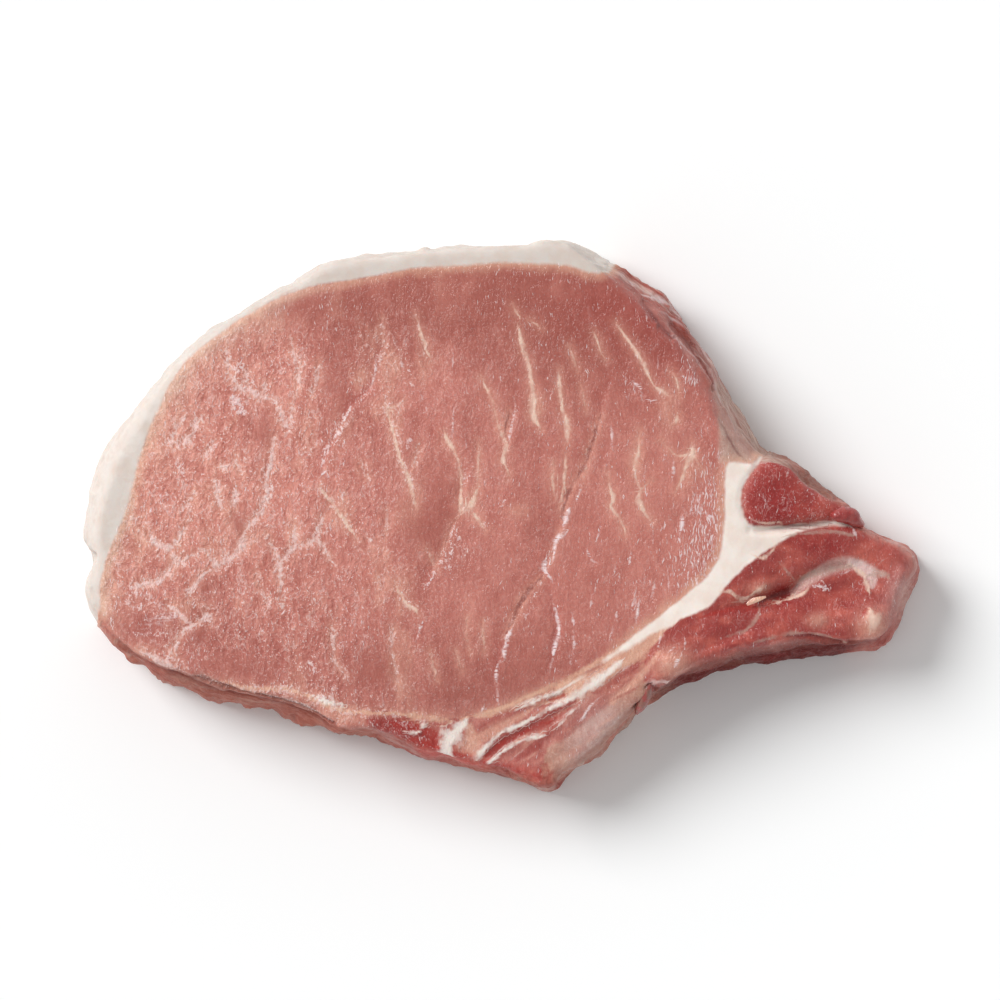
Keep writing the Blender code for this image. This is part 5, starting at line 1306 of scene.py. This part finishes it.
def meat_material(looks):
    """The one material of the whole chop: lean, fat, veins, membranes and their wet sheen."""
    for make_group in (make_grain_group, make_line_group, make_glint_group, make_wall_group):
        make_group()
    material = bpy.data.materials.new("chop_meat")
    material.use_nodes = True
    graph = Graph(material.node_tree)
    shader = material.node_tree.nodes["Principled BSDF"]
    place = graph.millimetres()
    flesh = graph.attribute("flesh", "Color")
    frost, wet, side = graph.split(graph.attribute("zones", "Vector"))
    granular, painted_fat_shading, soft_edge = graph.split(graph.attribute("grain", "Vector"))
    wrinkled = graph.attribute("wrinkled")
    fat_edge = graph.attribute("fat_edge")
    names = ("fat", "fat_shade", "speck", "lace", "halo", "glint", "silver")
    tones = {name: (*linear(getattr(looks, name)), 1.0) for name in names}

    # Lean.
    grain = use_group(graph, "Muscle grain", Place=place, Granular=granular, Frost=frost)
    wall = use_group(graph, "Raw wall", Place=place, Wrinkled=wrinkled)
    contrast = graph.scaled(wrinkled, 0.9, 0.8)
    wall_shade = graph.scaled(graph.centred(wall["Bundles"]), contrast, 1.0)
    shade = graph.plus(grain["Shade"], graph.times(side, graph.minus(wall_shade, grain["Shade"])))
    shades = [graph.math("POWER", shade, power) for power in (0.75, 1.35, 1.4)]
    lean = graph.mix(1.0, flesh, graph.node("CombineXYZ", dict(enumerate(shades))).outputs[0], "MULTIPLY")
    # Pale fibre ends, partly their own colour and partly painted micro-glints, thickest in the frost.
    pale = graph.mix(frost, tones["speck"], tones["glint"])
    lean = graph.mix(graph.times(grain["Specks"], graph.scaled(frost, 0.38, 0.18)), lean, pale)
    lean = graph.mix(graph.times(grain["Seams"], 0.42), lean, tones["lace"])
    # Painted highlights: pinpoint glints in the glint tone.
    lean = graph.mix(graph.times(grain["Pinpoints"], 0.62), lean, tones["glint"])
    lean = graph.mix(graph.times(graph.times(wall["Veil"], side), 0.32), lean, tones["silver"])

    # Fat, with painted shade and a soft peach edge where it meets the loin eye.
    edge_waver = graph.scaled(graph.noise(place, 2.4, 3.0, 3.0), 1.0, -0.5)
    edge = graph.plus(fat_edge, edge_waver)
    halo = graph.ramp(graph.plus(fat_edge, graph.times(edge_waver, 2.4)), -2.4, 0.2)
    lean = graph.mix(graph.times(halo, soft_edge), lean, tones["halo"])
    fat_mottle = graph.noise(place, 3.2, 3.0, 19.0)
    fat = graph.mix(graph.ramp(fat_mottle, 0.35, 0.7), tones["fat"], tones["fat_shade"])
    # Painted shade on the fat: darker on the cap, at the upper left and where it slopes.
    fat = graph.mix(1.0, fat, painted_fat_shading, "MULTIPLY")
    folds = graph.scaled(graph.centred(wall["Bundles"]), graph.times(side, 0.28), 1.0)
    fat = graph.mix(1.0, fat, folds, "MULTIPLY")
    fat_mask = graph.ramp(edge, -0.45, 0.45)
    skin = graph.mix(fat_mask, lean, fat)

    # Veins, streaks and furrows, the furrows in painted shade, then the painted glints over everything.
    ink = graph.node("Attribute", attribute_name="ink").outputs
    strokes = graph.attribute("line", "Vector")
    line = use_group(graph, "Drawn line", Place=place, Line=strokes, Broken=granular)["Mask"]
    skin = graph.mix(graph.times(line, ink["Alpha"]), skin, ink["Color"])
    strokes = graph.attribute("shine", "Vector")
    shine = use_group(graph, "Drawn line", Place=place, Line=strokes, Broken=0.12)["Mask"]
    ribs = graph.ramp(graph.noise(place, (1.4, 0.34, 0.5), 2.0, 61.0), 0.36, 0.5)
    shine = graph.times(shine, ribs)
    glints = use_group(graph, "Wet glints", Place=place, Amount=wet)["Mask"]
    glints = graph.math("MAXIMUM", graph.times(glints, 0.7), graph.times(shine, 0.9))
    skin = graph.mix(glints, skin, tones["glint"])
    graph.feed(shader.inputs["Base Color"], skin)

    # Relief finer than the mesh, deeper in the wet film than in the meat below it.
    not_fat = graph.ramp(fat_mask, 1.0, 0.0)
    relief_height = graph.times(graph.centred(grain["Ends"]), graph.scaled(granular, 1.8, 0.35))
    relief_height = graph.scaled(graph.centred(grain["Fibres"]), 0.35, relief_height)
    relief_height = graph.times(relief_height, not_fat)
    raised = graph.times(graph.centred(wall["Bundles"]), graph.scaled(not_fat, 3.0, 1.0))
    relief_height = graph.scaled(raised, side, relief_height)
    relief_height = graph.scaled(graph.noise(place, 1.1, 3.0, 29.0), 0.4, relief_height)
    relief_height = graph.scaled(line, 0.15, relief_height)
    relief_height = graph.scaled(glints, 0.3, relief_height)
    under = graph.node("Bump", {"Strength": 1.0, "Distance": 0.15 * MM, "Height": relief_height}).outputs[0]
    smooth = graph.node("NewGeometry").outputs["Normal"]
    tilt = graph.scaled(granular, 2.6, 3.3)
    tilt = graph.node("CombineXYZ", {0: tilt, 1: tilt, 2: tilt}).outputs[0]
    film = graph.vector("MULTIPLY", graph.vector("SUBTRACT", under, smooth), tilt)
    film = graph.vector("NORMALIZE", graph.vector("ADD", smooth, film))
    graph.feed(shader.inputs["Normal"], under)
    graph.feed(shader.inputs["Coat Normal"], film)
    graph.feed(shader.inputs["Roughness"], graph.scaled(fat_mask, 0.08, 0.42))
    coat = graph.times(graph.scaled(fat_mask, -0.6, 1.0), looks.wetness)
    graph.feed(shader.inputs["Coat Weight"], graph.times(coat, graph.scaled(side, -0.85, 1.0)))
    graph.feed(shader.inputs["Specular IOR Level"], graph.scaled(side, -0.13, 0.17))
    settings = {"Coat Roughness": 0.10, "Coat IOR": 1.4, **TRANSLUCENCY, "Subsurface Scale": 1.2 * MM}
    for name, value in settings.items():
        shader.inputs[name].default_value = value
    return material


TONE_NAMES = (
    "lean", "deep", "pale", "peach", "dark", "rib", "wall", "brown", "bone", "blood", "membrane", "silver",
    "maroon", "vein", "lace", "halo", "flush", "fat", "glint",
)


def colour_property(name, description, colour):
    """A colour that a user may change."""
    return bpy.props.FloatVectorProperty(
        name=name, description=description, default=colour, subtype="COLOR_GAMMA"
    )


class ChopLooks(bpy.types.PropertyGroup):
    """Sizes and colours that a user may change."""

    cell: bpy.props.FloatProperty(
        name="Skin cell", description="Size of the cells that the skin is grown from",
        default=0.00096, min=0.0005, max=0.004, unit="LENGTH", precision=5,
    )
    wetness: bpy.props.FloatProperty(
        name="Wetness", description="Strength of the wet sheen",
        default=0.55, min=0.0, max=1.0, subtype="FACTOR",
    )
    lean: colour_property("Lean", "Main colour of the loin eye", (0.748, 0.462, 0.42))
    deep: colour_property("Deep lean", "Lean under the fat cap", (0.595, 0.305, 0.268))
    pale: colour_property("Pale lean", "Palest parts of the eye", (0.835, 0.56, 0.505))
    peach: colour_property("Peach", "Lean over hidden fat", (0.86, 0.645, 0.565))
    # Also used for the painted shade on the gentle bank of each crease.
    dark: colour_property("Dark muscle", "Core of the side muscle", (0.585, 0.175, 0.165))
    rib: colour_property("Rib meat", "Red meat on the rib side", (0.625, 0.265, 0.245))
    wall: colour_property("Raw wall", "Meat of the outer wall", (0.67, 0.39, 0.33))
    brown: colour_property("Brown skin", "Skin beside the side muscle", (0.56, 0.36, 0.31))
    bone: colour_property("Bone", "Cartilage of the bone tip", (0.74, 0.54, 0.47))
    blood: colour_property("Blood", "Blood spots and the reddest muscle", (0.65, 0.20, 0.17))
    membrane: colour_property("Membrane", "Thick skin over the meat", (0.72, 0.60, 0.55))
    silver: colour_property("Silverskin", "Thin pale skin over the meat", (0.80, 0.66, 0.63))
    # Also the painted shade in crevices, cracks, wrinkle hollows, crease and fold bottoms and the hollow
    # under the arm; also darker clouds on the wall.
    maroon: colour_property("Crevices", "Deepest crevices", (0.42, 0.15, 0.14))
    vein: colour_property("Veins", "Marbling veins", (0.90, 0.77, 0.70))
    lace: colour_property("Lacework", "Fine veins of the granular part", (0.90, 0.78, 0.76))
    halo: colour_property("Fat edge", "Where fat thins over lean", (0.885, 0.70, 0.60))
    flush: colour_property("Flush", "Brighter red meat on the rib side", (0.80, 0.415, 0.355))
    fat: colour_property("Fat", "Main colour of the fat", (0.95, 0.905, 0.872))
    fat_shade: colour_property("Fat shade", "Warmer parts of the fat", (0.928, 0.865, 0.822))
    # Also stands in for painted micro-glints on the cut fibre ends.
    speck: colour_property("Specks", "Pale cut fibre ends", (0.92, 0.75, 0.70))
    # The colour of the painted glints, pinpoints and frost highlights.
    glint: colour_property("Glints", "Wet glints and frost", (0.94, 0.87, 0.87))


def dress(skin, tones, lines, depth):
    """Store everything that the meat's material reads at each point of the skin."""
    mesh, plan = skin.mesh, skin.plan
    x, y = plan[:, 0], plan[:, 1]
    frost = Strokes(plan, [("glint", 1.0, 0.0, FROST)], tones)
    shine = Strokes(plan, [("glint", 1.0, 0.0, GLINTS)], tones)

    # The flesh, with painted shade on one bank of each crease and paler meat beside each vein.
    colours = flesh_colours(skin, depth, tones)
    for path, _, gentle, _ in CREASES:
        near, across, along = path_field(plan, smooth_path(path), PATH_REACH)
        bank = np.exp(-(near / (0.55 * gentle)) ** 1.5)
        shaded = np.where(across > 0.0, 0.0, bank) * (near < PATH_REACH)
        paint(colours, 0.38 * shaded * np.sin(np.pi * along) ** 0.5 * skin.top, tones["dark"])
    aura = np.exp(-np.maximum(lines.gap, 0.0) / 0.9) * skin.top * skin.on["loin_eye"]
    paint(colours, 0.38 * aura * (lines.ink[:, 3] > 0.6), tones["peach"])
    set_attribute(mesh, "flesh", "FLOAT_COLOR", np.column_stack([colours, np.ones(len(plan))]))
    set_attribute(mesh, "ink", "FLOAT_COLOR", lines.ink)

    # How far inside the fat each point lies: more under the cap, less where the seam's tail thins out.
    lowered = 1.2 * step(-18.0, -6.0, x) * step(38.0, 41.0, y) * step(25.0, 20.0, x)
    lowered += 1.5 * spot(plan, (-65.0, 8.0), (8.0, 12.0))
    near, below, _ = path_field(plan, smooth_path(SEAM_FOOT), PATH_REACH)
    trimmed = np.where(near < PATH_REACH, np.minimum(skin.fat, -below), skin.fat)
    tail = step(25.0, 15.0, x) * step(-21.0, -25.0, y) * step(-8.0, -4.0, x)
    thinned = tail * (1.35 + 1.1 * streaked(skin.place, (9.0, 1.1, 3.0), 98))
    set_attribute(mesh, "fat_edge", "FLOAT", trimmed + lowered - thinned)

    # How much painted shade darkens the fat (on the cap, at the upper left and where it slopes), how coarse
    # the meat is and how soft the edge between them.
    on_cap = step(-1.0, 1.0, skin.gap["fat_seam"] - skin.gap["fat_cap"])
    painted_fat_shading = 1.0 - 0.05 * spot(plan, (-45.0, 35.0), (16.0, 10.0)) - 0.28 * on_cap
    painted_fat_shading -= 0.12 * step(0.98, 0.75, skin.normal[:, 2]) * (1.0 - on_cap)
    grain = np.column_stack([granular_cover(skin), painted_fat_shading, 0.55 * skin.on["loin_eye"]])
    set_attribute(mesh, "grain", "FLOAT_VECTOR", grain)
    set_attribute(mesh, "line", "FLOAT_VECTOR", lines.field(lines.shown))
    set_attribute(mesh, "shine", "FLOAT_VECTOR", shine.field(skin.side < 0.5))
    zones = np.column_stack([frost_cover(skin, lines, frost), wet_cover(skin), skin.side])
    set_attribute(mesh, "zones", "FLOAT_VECTOR", zones)
    wrinkled = np.maximum(skin.zone(SILVERSKIN), skin.zone(RAGGED_FOOT) * 0.6)
    set_attribute(mesh, "wrinkled", "FLOAT", wrinkled)


class AddChopMeat(bpy.types.Operator):
    """Model the whole slice of meat"""

    bl_idname = "object.add_chop_meat"
    bl_label = "Meat"

    def execute(self, context):
        looks = context.scene.chop_looks
        mesh = divided_skin("pork_chop", looks.cell)
        skin = Skin(mesh)
        tones = {name: linear(getattr(looks, name)) for name in TONE_NAMES}
        lines = Strokes(skin.plan, LINES + WALL_LINES, tones)
        on_wall = Strokes(skin.plan, WALL_LINES, tones)
        lines.shown = (skin.side < 0.5) | (on_wall.gap <= lines.gap + MERGE)
        lines.depth *= lines.shown
        shift, depth = relief(skin, lines)
        dress(skin, tones, lines, depth)
        set_points(mesh, skin.place + skin.normal * shift[:, None])
        mesh.materials.append(meat_material(looks))
        mesh.update()
        piece = link(bpy.data.objects.new("pork_chop", mesh))
        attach(piece, "root")
        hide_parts(*TISSUES)
        return {"FINISHED"}


def scrap_material(name, tone, second, wetness):
    """Wet meat or skin in two mixed tones."""
    material = bpy.data.materials.new(name)
    material.use_nodes = True
    graph = Graph(material.node_tree)
    shader = material.node_tree.nodes["Principled BSDF"]
    place = graph.millimetres()
    clouds = graph.ramp(graph.noise(place, 1.3, 3.0, 7.0), 0.4, 0.62)
    graph.feed(shader.inputs["Base Color"], graph.mix(clouds, (*tone, 1.0), (*second, 1.0)))
    fine = graph.noise(place, 0.6, 2.0, 13.0)
    bump = graph.node("Bump", {"Strength": 1.0, "Distance": 0.3 * MM, "Height": fine})
    graph.feed(shader.inputs["Normal"], bump.outputs[0])
    settings = {"Roughness": 0.35, "Coat Weight": wetness, "Coat Roughness": 0.08, **TRANSLUCENCY}
    for name, value in {**settings, "Subsurface Scale": 1.0 * MM}.items():
        shader.inputs[name].default_value = value
    return material


def swept_scrap(name, points, thickness):
    """A closed strip with rounded ends along a path of (x, y, z, half width)."""
    path = smooth_path(points, 6)
    last = len(path) - 1
    bm = bmesh.new()
    loops = []
    for index, (x, y, z, half) in enumerate(path):
        heading = path[min(index + 1, last)] - path[max(index - 1, 0)]
        turn = np.arctan2(heading[0], -heading[1])
        shape = Matrix.Diagonal((half, thickness * min(1.0, half), 1.0, 1.0))
        upright = Matrix.Rotation(np.pi / 2, 4, "X")
        placed = Matrix.Translation(Vector((x, y, z)) * MM) @ Matrix.Rotation(turn, 4, "Z")
        ring = bmesh.ops.create_circle(
            bm, cap_ends=index in (0, last), segments=SCRAP_SIDES, radius=MM,
            matrix=placed @ upright @ shape,
        )
        loops.append({edge for vert in ring["verts"] for edge in vert.link_edges})
    for loop, following in zip(loops, loops[1:]):
        bmesh.ops.bridge_loops(bm, edges=[*loop, *following])
    bmesh.ops.recalc_face_normals(bm, faces=bm.faces)
    mesh = mesh_from(bm, name)
    places = np.array([vert.co for vert in mesh.vertices]) / MM
    rough = 0.22 * min(1.0, thickness) * layered(places, 1.2, 97, 2)
    set_points(mesh, places + rough[:, None] * np.array([1.0, 1.0, 0.6]))
    return mesh


class AddChopScraps(bpy.types.Operator):
    """Lay the loose scraps of meat and skin on the chop"""

    bl_idname = "object.add_chop_scraps"
    bl_label = "Scraps"

    def execute(self, context):
        looks = context.scene.chop_looks
        body = BVHTree.FromObject(bpy.data.objects["pork_chop"], context.evaluated_depsgraph_get())
        for name, slot, tone, second, thickness, points in SCRAPS:
            laid = []
            for x, y, over, half in points:
                met = body.find_nearest(Vector((x, y, RIM_HEIGHT + 2.0)) * MM)[0]
                laid.append((x, y, met.z / MM + over, half))
            mesh = swept_scrap("scrap_" + name, laid, thickness)
            tones = [linear(getattr(looks, each)) for each in (tone, second)]
            mesh.materials.append(scrap_material("scrap_" + name, *tones, looks.wetness))
            piece = link(bpy.data.objects.new("scrap_" + name, mesh))
            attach(piece, "root")
        return {"FINISHED"}


class AddChopStage(bpy.types.Operator):
    """Set up the floor, the soft studio light and the camera"""

    bl_idname = "object.add_chop_stage"
    bl_label = "Stage"

    def execute(self, context):
        scene = context.scene
        scene.view_settings.view_transform = "Standard"
        bm = bmesh.new()
        bmesh.ops.create_grid(bm, x_segments=2, y_segments=2, size=FLOOR_SIZE)
        mesh = mesh_from(bm, "floor")
        floor = link(bpy.data.objects.new("floor", mesh))
        material = bpy.data.materials.new("floor")
        material.use_nodes = True
        shader = material.node_tree.nodes["Principled BSDF"]
        shader.inputs["Base Color"].default_value = FLOOR_COLOUR
        shader.inputs["Roughness"].default_value = 0.9
        shader.inputs["Specular IOR Level"].default_value = 0.1
        mesh.materials.append(material)
        light_the_sky(scene)

        lamp = bpy.data.lights.new("softbox", "SUN")
        lamp.angle = LAMP_ANGLE
        lamp.energy = LAMP_STRENGTH
        softbox = link(bpy.data.objects.new("softbox", lamp))
        softbox.location = LAMP_PLACE
        softbox.rotation_euler = (-LAMP_PLACE).to_track_quat("-Z", "Y").to_euler()

        camera = bpy.data.cameras.new("camera")
        camera.lens = CAMERA_LENS
        camera.clip_start = 0.01
        viewer = link(bpy.data.objects.new("camera", camera))
        viewer.location = CAMERA_PLACE
        scene.camera = viewer
        return {"FINISHED"}


def light_the_sky(scene):
    """A white surround, brightest at the horizon."""
    world = bpy.data.worlds.new("studio")
    world.use_nodes = True
    graph = Graph(world.node_tree)
    upward = graph.split(graph.node("TexCoord").outputs["Generated"])[2]
    backdrop = world.node_tree.nodes["Background"]
    backdrop.inputs[0].default_value = (1.0, 1.0, 1.0, 1.0)
    graph.feed(backdrop.inputs[1], graph.ramp(upward, 0.10, 0.45, SKY_HORIZON, SKY_TOP))
    scene.world = world


class ChopPanel(bpy.types.Panel):
    """Sidebar panel with the sizes, the colours and one button for each piece"""

    bl_idname = "VIEW3D_PT_pork_chop"
    bl_label = "Raw pork chop"
    bl_space_type = "VIEW_3D"
    bl_region_type = "UI"
    bl_category = "Pork chop"

    def draw(self, context):
        looks = context.scene.chop_looks
        for name in ChopLooks.__annotations__:
            self.layout.prop(looks, name)
        for operator in PIECES:
            self.layout.operator(operator.bl_idname)


PIECES = (AddChopMeat, AddChopScraps, AddChopStage)
CLASSES = (ChopLooks, *PIECES, ChopPanel)


def register():
    """Add the properties, the operators and the panel to Blender."""
    for each in CLASSES:
        bpy.utils.register_class(each)
    bpy.types.Scene.chop_looks = bpy.props.PointerProperty(type=ChopLooks)


def unregister():
    """Take them out again."""
    del bpy.types.Scene.chop_looks
    for each in reversed(CLASSES):
        bpy.utils.unregister_class(each)


def main():
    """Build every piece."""
    register()
    bpy.ops.object.add_chop_meat()
    bpy.ops.object.add_chop_scraps()
    bpy.ops.object.add_chop_stage()


if __name__ == "__main__":
    main()
